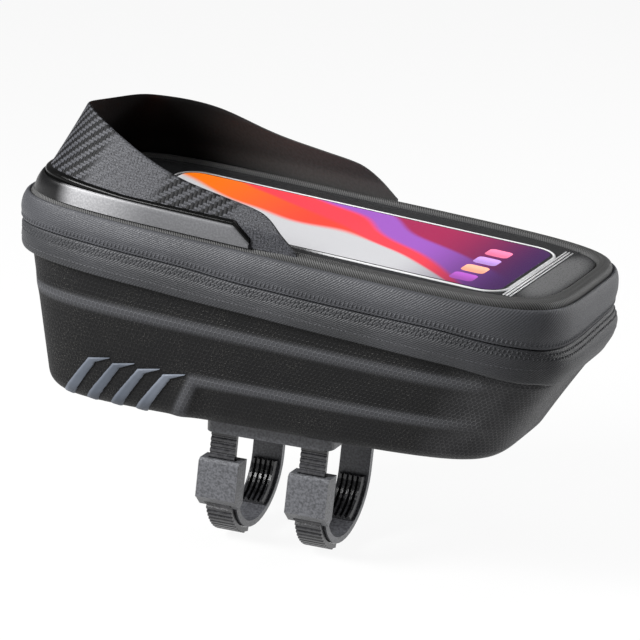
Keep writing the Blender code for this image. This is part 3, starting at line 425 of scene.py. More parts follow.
def plan_point(angle, half_length, half_width):
    x = half_length * signed_power(np.cos(angle), 2 / CORNER_POWER)
    y = half_width * signed_power(np.sin(angle), 2 / CORNER_POWER)
    return x, y


def fine_angles(steps=6000):
    """Angles that step evenly along the outline, also where its sides are nearly straight."""
    u = np.linspace(0, 1, steps, endpoint=False)
    power = CORNER_POWER / 2
    quarter = pi / 2 * u ** power / (u ** power + (1 - u) ** power)
    return np.concatenate([quarter + pi / 2 * k for k in (-2, -1, 0, 1)] + [[pi]])


FINE_ANGLES = fine_angles()
FINE_X, FINE_Y = plan_point(FINE_ANGLES, LID_LENGTH / 2, LID_WIDTH / 2)
FINE_ARC = np.concatenate([[0.0], np.cumsum(np.hypot(np.diff(FINE_X), np.diff(FINE_Y)))])
PERIMETER = FINE_ARC[-1]


def angles_at(arc):
    """Outline angles at distances along the seam from the middle of the hinge end."""
    return np.interp(np.asarray(arc) % PERIMETER, FINE_ARC, FINE_ANGLES)


def arcs_between(low, high, count):
    return np.linspace(low, high, count)


def arc_where(x_limit):
    """Distances along the seam, near side and far side, at which the outline reaches x."""
    near = FINE_ANGLES < 0
    first = np.interp(x_limit, FINE_X[near], FINE_ARC[near])
    return first, PERIMETER - first


def foot_line(x):
    share = np.clip((x - BAND_END_START) / (LID_LENGTH / 2 - BAND_END_START), 0, 1)
    return BAND_TILT * x - BAND_END_DROP * ease(share)


def offset_points(angle, offset, drop, follow=0.0, ledge=0.0):
    """Points a distance outside the seam's outline, at a height from the seam."""
    inwards = np.where(np.cos(angle) < 0, ledge, 0.0)
    x, y = plan_point(angle, LID_LENGTH / 2 + offset - inwards, LID_WIDTH / 2 + offset)
    return np.stack([x + BAG_AHEAD, y, SEAM_HEIGHT + drop + follow * foot_line(x)], -1)


# Mesh building

def surface(name, grid, uv, materials, closed=(True, True), caps=False, slots=None, turn=True):
    """A grid of points [along, across, 3] as a mesh, with its pattern map.

    uv holds one more row and column than the grid where it is closed. slots gives the material of each strip.
    """
    points = np.asarray(grid, float)
    along, across = points.shape[:2]
    if turn:
        points = points @ TURN_ARRAY.T
    index = np.arange(along * across).reshape(along, across)
    rows = along if closed[0] else along - 1
    columns = across if closed[1] else across - 1
    faces = []
    corners = []
    for i in range(rows):
        for j in range(columns):
            i2, j2 = (i + 1) % along, (j + 1) % across
            faces.append((index[i, j], index[i2, j], index[i2, j2], index[i, j2]))
            corners.append(((i, j), (i + 1, j), (i + 1, j + 1), (i, j + 1)))
    faces = [tuple(int(v) for v in face) for face in faces]
    strip = [c[0][1] for c in corners]
    if caps:
        for i in (0, along - 1):
            faces.append(tuple(int(v) for v in index[i]))
            corners.append([(i, j) for j in range(across)])
            strip.append(0)
    mesh = bpy.data.meshes.new(name)
    mesh.from_pydata([tuple(p) for p in points.reshape(-1, 3)], [], faces)
    layer = mesh.uv_layers.new(name="pattern")
    flat = [uv[i][j] for face in corners for i, j in face]
    layer.data.foreach_set("uv", np.asarray(flat, np.float32).ravel())
    for material in materials:
        mesh.materials.append(material)
    if slots:
        for polygon, column in zip(mesh.polygons, strip):
            polygon.material_index = slots[column]
    return finish(name, mesh)


def finish(name, mesh, sharp=40):
    mesh.validate()
    work = bmesh.new()
    work.from_mesh(mesh)
    bmesh.ops.recalc_face_normals(work, faces=work.faces)
    work.to_mesh(mesh)
    work.free()
    mesh.shade_smooth()
    mesh.set_sharp_from_angle(angle=radians(sharp))
    thing = bpy.data.objects.new(name, mesh)
    bpy.context.scene.collection.objects.link(thing)
    return thing


def smooth_line(points, steps):
    """A smooth curve through points of any number of coordinates, with steps between each two."""
    p = np.asarray(points, float)
    p = np.vstack([2 * p[0] - p[1], p, 2 * p[-1] - p[-2]])
    out = []
    for k in range(1, len(p) - 2):
        for t in np.linspace(0, 1, steps, endpoint=False):
            out.append(0.5 * (
                2 * p[k] + (p[k + 1] - p[k - 1]) * t
                + (2 * p[k - 1] - 5 * p[k] + 4 * p[k + 1] - p[k + 2]) * t ** 2
                + (3 * p[k] - p[k - 1] - 3 * p[k + 1] + p[k + 2]) * t ** 3
            ))
    out.append(p[-2])
    return np.array(out)


def grid_uv(arcs, grid, closed_along=True, closed_across=True):
    """Pattern coordinates: distance along the seam, and distance along the profile."""
    first = grid[len(grid) // 2]
    steps = np.linalg.norm(np.diff(np.vstack([first, first[:1]]), axis=0), axis=1)
    across = np.concatenate([[0.0], np.cumsum(steps)])
    count = len(arcs)
    step = arcs[1] - arcs[0]
    along = [arcs[0] + step * i for i in range(count + 1)]
    return [[(a, b) for b in across] for a in along]


def ring(name, profile, material, count=520, ledge=0.0, wobble=0.0):
    """Sweeps a closed profile, which changes with its place, right round the seam."""
    arcs = np.arange(count) * PERIMETER / count
    angles = angles_at(arcs)
    rows = []
    for angle in angles:
        line = profile(*plan_point(angle, LID_LENGTH / 2, LID_WIDTH / 2))
        follow = line[:, 2] if line.shape[1] > 2 else 0.0
        shift = line[:, 3] * HINGE_LEDGE if line.shape[1] > 3 else ledge
        rows.append(offset_points(np.full(len(line), angle), line[:, 0], line[:, 1], follow, shift))
    grid = np.array(rows)
    if wobble:
        grid = soften(grid, wobble)
    return surface(name, grid, grid_uv(arcs, grid), [material])


def soften(points, amount, scale=34.0):
    """Moves points sideways a little, as soft fabric does."""
    flat = np.asarray(points, float).reshape(-1, 3)
    moved = [p + np.array(noise.noise_vector(Vector(p) * scale)) * amount for p in flat]
    return np.array(moved).reshape(np.shape(points))


def keep(thing, body, slot, *nodes):
    """Rides a piece on its body, and hides the nodes it stands for; its slot is not used."""
    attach(thing, body)
    if nodes:
        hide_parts(*nodes)
    return thing


# Rows of small raised bumps or stitches

def bumps(name, places, directions, ups, length, radius, material, height=1.0, rings=3, sides=6, sharp=60):
    """Many small capsules in one mesh, each along its direction, half sunk in the surface below."""
    verts = []
    faces = []
    for place, direction, up in zip(places, directions, ups):
        direction = direction / np.linalg.norm(direction)
        side = np.cross(up, direction)
        side /= np.linalg.norm(side)
        lift = np.cross(direction, side)
        base = len(verts)
        stations = []
        for k in range(rings):
            angle = pi / 2 * k / rings
            stations.append((-length / 2 - radius * cos(angle), radius * sin(angle)))
        stations.append((-length / 2, radius))
        stations += [(-a, r) for a, r in reversed(stations)]
        stations = stations[1:-1]
        verts.append(place + direction * (-length / 2 - radius))
        for a, r in stations:
            for s in range(sides):
                turn = 2 * pi * s / sides
                verts.append(place + direction * a + side * r * cos(turn) + lift * r * sin(turn) * height)
        verts.append(place + direction * (length / 2 + radius))
        last = len(verts) - 1
        for s in range(sides):
            s2 = (s + 1) % sides
            faces.append((base, base + 1 + s2, base + 1 + s))
            for k in range(len(stations) - 1):
                a = base + 1 + k * sides
                faces.append((a + s, a + s2, a + sides + s2, a + sides + s))
            a = base + 1 + (len(stations) - 1) * sides
            faces.append((a + s, a + s2, last))
    mesh = bpy.data.meshes.new(name)
    mesh.from_pydata([tuple(TURN_ARRAY @ v) for v in verts], [], faces)
    mesh.materials.append(material)
    layer = mesh.uv_layers.new(name="pattern")
    flat = np.zeros((len(mesh.loops), 2), np.float32)
    for loop in mesh.loops:
        v = mesh.vertices[loop.vertex_index].co
        flat[loop.index] = (v.x + v.y, v.z)
    layer.data.foreach_set("uv", flat.ravel())
    return finish(name, mesh, sharp)


def row_along_band(offset, drop, pitch, follow=0.0, shift=0.0, low=0.0, high=None):
    """Places, directions along and outward directions of a row round the bag."""
    arcs = np.arange(low, PERIMETER if high is None else high, pitch) + shift * pitch
    angles = angles_at(arcs)
    after = angles_at(arcs + 0.0005)
    here = offset_points(angles, offset, drop, follow)
    along = offset_points(after, offset, drop, follow) - here
    along /= np.linalg.norm(along, axis=1)[:, None]
    outward = np.cross(along, np.array([0, 0, 1.0]))
    return here, along, outward


# Bands

SLIT_TOP = -ZIP_DROP + ZIP_SLIT / 2
SLIT_BOTTOM = -ZIP_DROP - ZIP_SLIT / 2
FOOT = -BAND_DEPTH


ZIP_LIFT = (
    (-0.107, 0.0024), (-0.087, 0.0030), (-0.030, 0.0028), (-0.008, 0.0014), (0.030, 0.0016),
    (0.070, 0.0018), (0.086, 0.0004), (0.100, -0.0006), (0.107, -0.0018),
)
END_START = 0.1020


def zip_lift(x, y):
    """How far the zip runs above or below its level line: it isn't straight on the soft near side."""
    lift = np.mean([np.interp(x + d, *zip(*ZIP_LIFT)) for d in (-0.006, -0.003, 0.0, 0.003, 0.006)])
    return float(lift * ease(np.clip((0.034 - y) / 0.068, 0, 1)))


def end_share(x):
    """0 along the sides, 1 at the middle of the sloped end."""
    return ease(float(np.clip((x - END_START) / (LID_LENGTH / 2 - END_START), 0, 1)))


def raise_upper(line, x, y):
    share = np.clip((-line[:, 1] - 0.0022) / (-SLIT_TOP - 0.0022), 0, 1)
    moved = line.copy()
    moved[:, 1] += zip_lift(x, y) * share
    return moved


def raise_lower(line, x, y):
    share = np.clip((line[:, 1] - FOOT - 0.0015) / (SLIT_BOTTOM - FOOT - 0.0015), 0, 1)
    moved = line.copy()
    moved[:, 1] += zip_lift(x, y) * share - 0.0014 * end_share(x) * (1 - share)
    return moved


def upper_outer(x, y):
    line = smooth_line([
        (-0.0013, -0.0013), (-0.0006, -0.0006), (0.0001, -0.0009), (0.0007, -0.0020), (0.00125, -0.0042),
        (0.00150, -0.0075), (0.00130, -0.0100), (0.00105, -0.0118), (0.00085, -0.0131), (0.00065, SLIT_TOP),
        (0.0001, SLIT_TOP - 0.0002),
    ], 5)
    return raise_upper(line, x, y)


def upper_profile(x, y):
    inner = raise_upper(np.array([
        (-0.0013, SLIT_TOP + 0.0004), (-0.0012, -0.0105), (-0.0003, -0.0075), (-0.0004, -0.0042), (-0.0012, -0.0022),
    ]), x, y)
    line = np.vstack([upper_outer(x, y), inner])
    return np.column_stack([line, np.zeros(len(line))])


def lower_outer(x, y):
    """The lower band bulges more at the sloped end and less at the hinge end."""
    more = 0.0018 * end_share(x) - 0.0007 * ease(float(np.clip((-0.088 - x) / 0.016, 0, 1)))
    line = smooth_line([
        (0.0001, SLIT_BOTTOM + 0.0002, 0), (0.00065, SLIT_BOTTOM, 0), (0.00090 + more * 0.2, -0.0151, 0),
        (0.00110 + more * 0.6, -0.0164, 0), (0.00135 + more, -0.0180, 0.1), (0.00110 + more * 0.8, -0.0202, 0.5),
        (0.00060 + more * 0.1, FOOT + 0.0019, 1), (0.00010, FOOT + 0.0006, 1), (-0.00060, FOOT + 0.0001, 1),
        (-0.0014, FOOT + 0.0001, 1),
    ], 5)
    return raise_lower(line, x, y)


def lower_profile(x, y):
    inner = raise_lower(np.array([
        (-0.0024, FOOT + 0.0004, 1), (-0.0014, FOOT + 0.0017, 1), (-0.0006, -0.0190, 0.3), (-0.0006, -0.0166, 0),
        (-0.0013, SLIT_BOTTOM - 0.0004, 0),
    ]), x, y)
    return np.vstack([lower_outer(x, y), inner])


BAND_SOFTNESS = 0.00022


def on_band(arcs, drop, upper, sink):
    """Places on a band's outer surface, the seam's direction there, and the way out."""
    angles = angles_at(arcs)
    places = []
    for angle in angles:
        x, y = plan_point(angle, LID_LENGTH / 2, LID_WIDTH / 2)
        line = upper_outer(x, y) if upper else lower_outer(x, y)
        order = np.argsort(line[:, 1])
        height = drop + (zip_lift(x, y) if drop > FOOT + 0.005 else 0.0)
        offset = np.interp(height, line[order, 1], line[order, 0]) - sink
        follow = 0.0 if upper else np.interp(height, line[order, 1], line[order, 2])
        places.append(offset_points(np.array(angle), offset, height, follow))
    here = soften(np.array(places), BAND_SOFTNESS)
    along = offset_points(angles_at(arcs + 0.0005), 0.0, 0.0) - offset_points(angles, 0.0, 0.0)
    along /= np.linalg.norm(along, axis=1)[:, None]
    return here, along, np.cross(along, np.array([0, 0, 1.0]))


def make_bands():
    band = coated("band_fabric", (0.036, 0.037, 0.041), (0.084, 0.086, 0.096))
    # Painted shade: the lower band gets a darker copy of the band fabric, as it faces downwards.
    shaded_band = coated("lower_band_painted_shade", (0.021, 0.022, 0.024), (0.054, 0.055, 0.061))
    thread = coated("stitch_thread", (0.060, 0.061, 0.068), (0.095, 0.096, 0.105), twill=0.2)
    upper = keep(ring("upper_band_cloth", upper_profile, band, 640, wobble=BAND_SOFTNESS), "lid", "band", "upper_band")
    lower = keep(ring("lower_band_cloth", lower_profile, shaded_band, 640, wobble=BAND_SOFTNESS), "bag", "band", "lower_band")
    up = np.array([0, 0, 1.0])
    pitch = PERIMETER / round(PERIMETER / 0.00160)
    rows = (
        ("zip_ridge_upper", -ZIP_DROP + 0.0022, 0.0012, 0.00044, "lid", 0.0),
        ("zip_ridge_lower", -ZIP_DROP - 0.0016, 0.0005, 0.00042, "bag", 0.5),
        ("zip_ridge_lowest", -ZIP_DROP - 0.0030, 0.0005, 0.00042, "bag", 0.0),
    )
    for name, drop, length, radius, body, shift in rows:
        arcs = np.arange(0, PERIMETER - pitch / 2, pitch) + shift * pitch
        here, along, outward = on_band(arcs, drop, body == "lid", 0.00008)
        look = band if body == "lid" else shaded_band
        made = bumps(name, here, along * 0.36 + up, outward, length, radius, look, height=0.7)
        keep(made, body, "band")
    arcs = np.arange(0, PERIMETER, 0.0017)
    here, along, outward = on_band(arcs, FOOT + 0.0036, False, 0.00004)
    keep(bumps("foot_stitches", here, along, outward, 0.0010, 0.00016, thread), "bag", "band")
    coil_look = plastic("coil_plastic", (0.020, 0.020, 0.022), (0.045, 0.045, 0.050), 0.35, 0.3)
    low = HINGE_HALF_WIDTH + 0.004
    for name, drop, body, node in (
        ("coil_teeth_upper", SLIT_TOP + 0.0008, "lid", "zip_coil_upper"),
        ("coil_teeth_lower", SLIT_BOTTOM - 0.0008, "bag", "zip_coil_lower"),
    ):
        here, along, outward = row_along_band(-0.0024, drop, 0.0012, low=low, high=PERIMETER - low)
        made = bumps(name, here, outward + along * 0.2, up[None] + 0 * here, 0.0011, 0.00042, coil_look)
        keep(made, body, "coil", node)
    make_hinge_fabric(band)


def make_hinge_fabric(look):
    """The cloth that stays closed across the hinge end."""
    arcs = np.linspace(-HINGE_HALF_WIDTH, HINGE_HALF_WIDTH, 60)
    angles = angles_at(arcs)
    heights = np.linspace(-ZIP_DROP - 0.0055, -ZIP_DROP + 0.0055, 28)
    def skin(depth):
        rows = []
        for drop in heights:
            reach = abs(drop + ZIP_DROP) / 0.0055
            spread = 0.00070 if drop > -ZIP_DROP else 0.00015
            offset = 0.00095 + spread * ease(min(1.0, reach * 1.3)) - depth
            rows.append(offset_points(angles, offset, drop))
        return np.array(rows).transpose(1, 0, 2)
    outer = skin(0.0)
    inner = skin(0.0009)[:, ::-1]
    grid = np.concatenate([outer, inner], axis=1)
    uv = grid_uv(arcs, grid)
    thing = surface("hinge_fabric", grid, uv, [look], closed=(False, True), caps=True)
    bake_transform(thing)
    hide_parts("hinge_tape")


# Shell

def shell_section(share):
    half_length = LID_LENGTH / 2 - SHELL_TOP_INSET
    hinge_end = HINGE_END_SLOPE * share
    sloped_end = SLOPED_END_SLOPE * share - END_BULGE * min(1.0, share / END_BULGE_SHARE)
    turn = min(1.0, max(0.0, (share - 1 + FLOOR_ROUND_SHARE) / FLOOR_ROUND_SHARE))
    inset = FLOOR_ROUND * (1 - sqrt(1 - turn * turn))
    half_width = LID_WIDTH / 2 - SHELL_TOP_INSET - SIDE_SLOPE * share
    return half_length - (hinge_end + sloped_end) / 2 - inset, half_width - inset, (hinge_end - sloped_end) / 2


def shell_height(share, x):
    top = -BAND_DEPTH + foot_line(x)
    return top + (-SHELL_DEPTH + FLOOR_TILT * x - top) * share


def line_distance(x, z, start, end):
    along = np.array([end[0] - start[0], end[1] - start[1]])
    share = np.clip(((x - start[0]) * along[0] + (z - start[1]) * along[1]) / (along @ along), 0, 1)
    dx = x - start[0] - along[0] * share
    dz = z - start[1] - along[1] * share
    return np.hypot(dx, dz), along[0] * dz - along[1] * dx


def rib_offset(x, z):
    """How far the moulded ridges stand out, and how far the panel below the lower one lies back."""
    upper = np.abs(z + UPPER_RIB_DROP - UPPER_RIB_TILT * x)
    upper = upper + np.maximum(0, x - LOWER_RIB_END[0]) * RIB_WIDTH / RIB_FADE
    slanted, _ = line_distance(x, z, LOWER_RIB_START, LOWER_RIB_BEND)
    level, side = line_distance(x, z, LOWER_RIB_BEND, LOWER_RIB_END)
    lower = np.minimum(slanted, level)
    rib = RIB_HEIGHT * np.maximum(np.exp(-(upper / RIB_WIDTH) ** 2), np.exp(-(lower / RIB_WIDTH) ** 2))
    right_of_bend = np.clip((x - LOWER_RIB_BEND[0] + 0.002) / 0.006, 0, 1)
    below = np.clip(-side / np.hypot(*(np.array(LOWER_RIB_END) - LOWER_RIB_BEND)) / 0.005, 0, 1)
    return rib - 0.0004 * right_of_bend * ease(below)


def shell_ring(angles, share, inset=0.0, ribs=False):
    half_length, half_width, middle = shell_section(share)
    x, y = plan_point(angles, half_length - inset, half_width - inset)
    x = x + middle
    z = shell_height(share, x)
    if ribs:
        y = y + rib_offset(x, z) * np.sin(angles)
    return np.stack([x + BAG_AHEAD, y, SEAM_HEIGHT + z], -1)


def make_shell():
    count = 420
    arcs = np.arange(count) * PERIMETER / count
    angles = angles_at(arcs)
    shares = list(np.linspace(0, 1 - FLOOR_ROUND_SHARE, 74))
    shares += [1 - FLOOR_ROUND_SHARE * (1 - sin(radians(a))) for a in range(9, 91, 9)]
    rows = []
    heights = []
    flange = shell_ring(angles, 0.0)
    flange[:, 2] = SEAM_HEIGHT - SHELL_TOP_DROP
    rows.append(flange)
    heights.append(-SHELL_TOP_DROP)
    for share in shares:
        rows.append(shell_ring(angles, share, ribs=True))
        heights.append(-BAND_DEPTH + (BAND_DEPTH - SHELL_DEPTH) * share)
    edge = rows[-1]
    centre = edge.mean(axis=0)
    for scale in (0.985, 0.95, 0.85, 0.7, 0.5, 0.3, 0.12, 0.0):
        floor = centre + (edge - centre) * scale
        rows.append(floor)
        heights.append(heights[-1] - 0.003)
    wall = SHELL_WALL
    inner = []
    for scale in (0.0, 0.12, 0.5, 0.9):
        top = centre + (edge - centre) * scale
        top[:, 2] += wall
        inner.append(top)
    for share in (1.0, 0.985, 0.95, 0.9, 0.82, 0.7, 0.5, 0.25, 0.0):
        low = shell_ring(angles, share, inset=wall)
        low[:, 2] += wall * max(0.0, share - 0.35) / 0.65
        inner.append(low)
    lip = inner[-1].copy()
    lip[:, 2] = SEAM_HEIGHT - SHELL_TOP_DROP
    inner.append(lip)
    lining_start = len(rows) - 1
    grid = np.array(rows + inner).transpose(1, 0, 2)
    levels = heights + [heights[-1] - 0.004 * (k + 1) for k in range(len(inner))]
    levels.append(levels[-1] - 0.004)
    along = [PERIMETER * i / count for i in range(count + 1)]
    uv = [[(a, b) for b in levels] for a in along]
    columns = grid.shape[1]
    slots = [0 if k < lining_start else 1 for k in range(columns)]
    looks = [woven_shell("woven_shell"), lining("lining_fabric")]
    shell = surface("shell_moulding", grid, uv, looks, slots=slots)
    raised = np.zeros(grid.shape[:2])
    for k, share in enumerate(shares):
        plan = shell_ring(angles, share)
        level = rib_offset(plan[:, 0] - BAG_AHEAD, plan[:, 2] - SEAM_HEIGHT) / RIB_HEIGHT
        raised[:, k + 1] = np.clip(level * np.abs(np.sin(angles)) ** 0.3, 0, 1)
    shell.data.attributes.new("raised", "FLOAT", "POINT").data.foreach_set("value", raised.ravel().astype(np.float32))
    close_floor(shell.data)
    keep(shell, "bag", "shell", "lower_shell")


def close_floor(mesh):
    """Joins the points in the floor's middle, outside and inside, into one each."""
    work = bmesh.new()
    work.from_mesh(mesh)
    bmesh.ops.remove_doubles(work, verts=work.verts, dist=1e-6)
    bmesh.ops.dissolve_degenerate(work, edges=work.edges, dist=1e-7)
    bmesh.ops.delete(work, geom=[edge for edge in work.edges if not edge.link_faces], context="EDGES")
    work.to_mesh(mesh)
    work.free()


def wall_point(x, drop, stand_off):
    """A point on the near wall, moved outwards, for x from the bag's middle."""
    share = (drop - shell_height(0.0, x)) / (shell_height(1.0, x) - shell_height(0.0, x))
    half_length, half_width, middle = shell_section(share)
    reach = min(0.999, abs((x - middle) / half_length))
    y = -half_width * (1 - reach ** CORNER_POWER) ** (1 / CORNER_POWER)
    along = np.sign(x - middle) * reach ** (CORNER_POWER - 1) / half_length
    across = -abs(y / half_width) ** (CORNER_POWER - 1) / half_width
    below = shell_section(min(1.0, share + 0.02))[1]
    drop_step = abs(shell_height(0.02, 0) - shell_height(0.0, 0))
    flat = np.array([along, across, 0.0])
    flat /= np.linalg.norm(flat)
    normal = np.array([flat[0], flat[1], -(half_width - below) / drop_step])
    normal /= np.linalg.norm(normal)
    point = np.array([x + BAG_AHEAD, y - rib_offset(x, drop), SEAM_HEIGHT + drop])
    return point + normal * stand_off


def make_chevrons():
    look = plastic("chevron_film_look", (0.085, 0.098, 0.122), (0.185, 0.205, 0.245), 0.50, 0.5, grain_scale=1500.0)
    for number in range(CHEVRON_COUNT):
        shift = number * CHEVRON_PITCH - LID_LENGTH / 2
        lift = number * CHEVRON_PITCH * FLOOR_TILT / 2
        left = []
        right = []
        steps = 18
        for k in range(steps + 1):
            share = k / steps
            x = CHEVRON_FOOT[0] + (CHEVRON_TOP[0] - CHEVRON_FOOT[0]) * share + shift
            z = CHEVRON_FOOT[1] + (CHEVRON_TOP[1] - CHEVRON_FOOT[1]) * share + lift
            rough = 0.00022 * noise.noise(Vector((x * 900, z * 900, number)))
            left.append((x + rough, z))
            right.append((x + CHEVRON_WIDTH * (1 - 0.35 * share) + rough * 1.5, z - 0.0004 - 0.0006 * share))
        tip = (CHEVRON_TIP[0] + shift, CHEVRON_TIP[1] + lift)
        a, b = np.array(left[-1]), np.array(right[-1])
        for share in np.linspace(0.12, 0.96, 8):
            left.append(tuple(a + (np.array(tip) - a) * share))
            right.append(tuple(b + (np.array(tip) - b) * share))
        rows = []
        for (lx, lz), (rx, rz) in zip(left, right):
            across = [(lx + (rx - lx) * t, lz + (rz - lz) * t) for t in np.linspace(0, 1, 7)]
            top = [wall_point(x, z, 0.0005 + 0.0003 * (1 - (2 * t - 1) ** 6)) for (x, z), t in zip(across, np.linspace(0, 1, 7))]
            foot = [wall_point(x, z, 0.00005) for x, z in reversed(across)]
            rows.append(top + foot)
        grid = np.array(rows)
        uv = [[(0.01 * i, 0.001 * j) for j in range(grid.shape[1] + 1)] for i in range(grid.shape[0] + 1)]
        made = surface(f"chevron_film_{number + 1}", grid, uv, [look], closed=(False, True), caps=True)
        keep(made, "bag", "chevron", f"reflective_chevron_{number + 1}")


# Lid

def rim_profile(x, _):
    """A flat ledge under the visor's foot, and a full round bead beyond its end."""
    bead = ease(float(np.clip((x - TRIM_END) / 0.012, 0, 1)))
    outer_rise = LEDGE_HEIGHT + 0.0009 * bead
    points = [
        (-0.0012, -0.0022, 0, 0), (-0.0012, -0.0012 + 0.0004 * bead, 0, 0), (-0.0014, -0.0006 + 0.0011 * bead, 0, 0),
        (-0.0021, outer_rise, 0, 0), (-RIM_LEDGE + 0.0004, LEDGE_HEIGHT + 0.0013 * bead, 0, 1),
        (-RIM_LEDGE - 0.0006, RIM_CROWN - 0.0006 + 0.0004 * bead, 0, 1), (-RIM_LEDGE - 0.0014, RIM_CROWN, 0, 1),
        (-RIM_LEDGE - 0.0022, RIM_CROWN - 0.0001, 0, 1), (-RIM_WIDTH + 0.0003, RIM_CROWN - 0.0007, 0, 1),
        (-RIM_WIDTH + 0.0001, LEDGE_HEIGHT, 0, 1),
    ]
    line = smooth_line(points, 4)
    foot = np.array([
        (-RIM_WIDTH, -RIM_DEPTH, 0, 1), (-0.0024, -RIM_DEPTH, 0, 0),
    ])
    return np.vstack([line, foot])


def make_rim():
    look = ribbed("rim_ribs")
    rim = keep(ring("rim_bead", rim_profile, look, 640, wobble=0.00012), "lid", "rim", "lid_rim")


def leg_arcs(end, count):
    """Distances along the seam from the far leg's end, round the hinge end, to the near leg's."""
    near, _ = arc_where(end - BAG_AHEAD)
    return np.linspace(-near, near, count)


def trim_top(x):
    ramp = np.clip((TRIM_END - x) / TRIM_CHAMFER, 0, 1)
    return LEDGE_HEIGHT + GAP + TRIM_END_HEIGHT + TRIM_HEIGHT * ramp


def satin_strip_painted_reflection(name):
    """Satin grey; near black round the front corners and pale just beyond them, a painted reflection and a painted
    highlight.
    """
    g = Graph(name, roughness=0.3)
    x, _, _ = g.split(g.uv())
    reach = g.math("ABSOLUTE", x)
    # Painted reflection: near black round the front corners, then a pale painted highlight, then satin grey.
    rise = g.ramp(reach, 0.0525, 0.0630)
    fall = g.ramp(reach, 0.066, 0.098)
    grain = g.noise(g.uv(), 1200.0, 3.0, 0.6)
    tone = g.ramp(grain, 0.35, 0.7)
    middle = g.blend(tone, (0.120, 0.121, 0.127), (0.165, 0.166, 0.174))
    pale = g.blend(tone, (0.30, 0.30, 0.31), (0.42, 0.42, 0.43))
    dark = g.blend(tone, (0.0025, 0.0025, 0.0028), (0.0070, 0.0070, 0.0076))
    g.put("Base Color", g.blend(rise, dark, g.blend(fall, pale, middle)))
    g.put("Roughness", g.ramp(grain, 0.3, 0.7, 0.36, 0.28))
    g.put("Specular IOR Level", 0.25)
    g.bump((grain, 0.00004, 0.4))
    return g.material


def make_trim():
    look = satin_strip_painted_reflection("satin_strip_painted_reflection")
    arcs = leg_arcs(TRIM_END, 420)
    angles = angles_at(arcs)
    x = plan_point(angles, LID_LENGTH / 2, LID_WIDTH / 2)[0]
    foot = LEDGE_HEIGHT + GAP
    outer = -TRIM_INSET
    inner = outer - TRIM_THICKNESS
    rows = []
    for angle, station in zip(angles, x):
        top = float(trim_top(station))
        rise = top - foot
        soft = min(0.0005, rise / 3)
        line = np.array([
            (outer, foot), (outer + 0.0002, foot + 0.25 * rise), (outer + 0.0003, foot + 0.5 * rise),
            (outer + 0.0002, foot + 0.75 * rise), (outer, top - soft), (outer - 0.0002, top - soft * 0.3),
            (outer - 0.0005, top), (inner + 0.0003, top), (inner, top - soft * 0.5), (inner, foot),
        ])
        points = offset_points(np.full(len(line), angle), line[:, 0], line[:, 1], 0.0, HINGE_LEDGE)
        face = offset_points(np.array(angle), inner - GAP, foot, 0.0, HINGE_LEDGE)
        lean, _ = visor_lean(face[0] - BAG_AHEAD, face[1], rise)
        points[:, 0] += lean * (line[:, 1] - foot) / rise
        rows.append(points)
    grid = np.array(rows)
    made = surface("visor_base_strip", grid, grid_uv(arcs, grid), [look], closed=(False, True), caps=True)
    keep(made, "lid", "trim", "visor_base")


def edge_height(x):
    """The visor's top edge, with its corners softened."""
    xs = [p[0] for p in VISOR_EDGE][::-1]
    zs = [p[1] for p in VISOR_EDGE][::-1]
    spread = np.linspace(-0.0035, 0.0035, 9)
    return float(np.mean([np.interp(x + d, xs, zs) for d in spread]))


def visor_lean(x, y, rise):
    """How far forwards and sideways the visor leans at a height above its foot."""
    reach = max(0.0, (VISOR_LEAN_START - x) / (LID_LENGTH / 2 + VISOR_LEAN_START))
    above_strip = rise - TRIM_END_HEIGHT - TRIM_HEIGHT
    above_strip = 0.0005 * np.log1p(np.exp(above_strip / 0.0005))
    forwards = VISOR_FRONT_LEAN * reach ** VISOR_LEAN_POWER * rise
    return forwards, -VISOR_SIDE_LEAN * above_strip * y / (LID_WIDTH / 2)


VISOR_CORNER = (0.1025, 0.0450)
VISOR_CORNER_REACH = 0.0060
VISOR_CORNER_DIP = 0.0011


def visor_point(angle, share, depth):
    offset = -TRIM_INSET - TRIM_THICKNESS - GAP - depth
    foot = LEDGE_HEIGHT + GAP
    x, y, base = offset_points(np.array(angle), offset, foot, 0.0, HINGE_LEDGE)
    x -= BAG_AHEAD
    frontness = float(np.clip((VISOR_LEAN_START - x) / 0.030, 0, 1))
    peak = edge_height(x) * (1 - VISOR_SKEW * frontness * y / (LID_WIDTH / 2))
    from_corner = ((x + VISOR_CORNER[0]) ** 2 + (abs(y) - VISOR_CORNER[1]) ** 2) / VISOR_CORNER_REACH ** 2
    peak -= VISOR_CORNER_DIP * exp(-from_corner)
    rise = max(VISOR_LEAST, peak - foot) * share
    forwards, sideways = visor_lean(x, y, rise)
    return np.array([x + forwards + BAG_AHEAD, y + sideways, base + rise])


def round_corners(grid, shares, reach=24):
    """Eases the hood's corners, more towards its top edge."""
    weights = np.exp(-np.linspace(-1.6, 1.6, 2 * reach + 1) ** 2)
    weights /= weights.sum()
    eased = grid.copy()
    count = len(grid)
    for i in range(2 * reach, count - 2 * reach):
        near = np.tensordot(weights, grid[i - reach:i + reach + 1], axes=(0, 0))
        eased[i] += (near - grid[i]) * shares[:, None]
    return eased


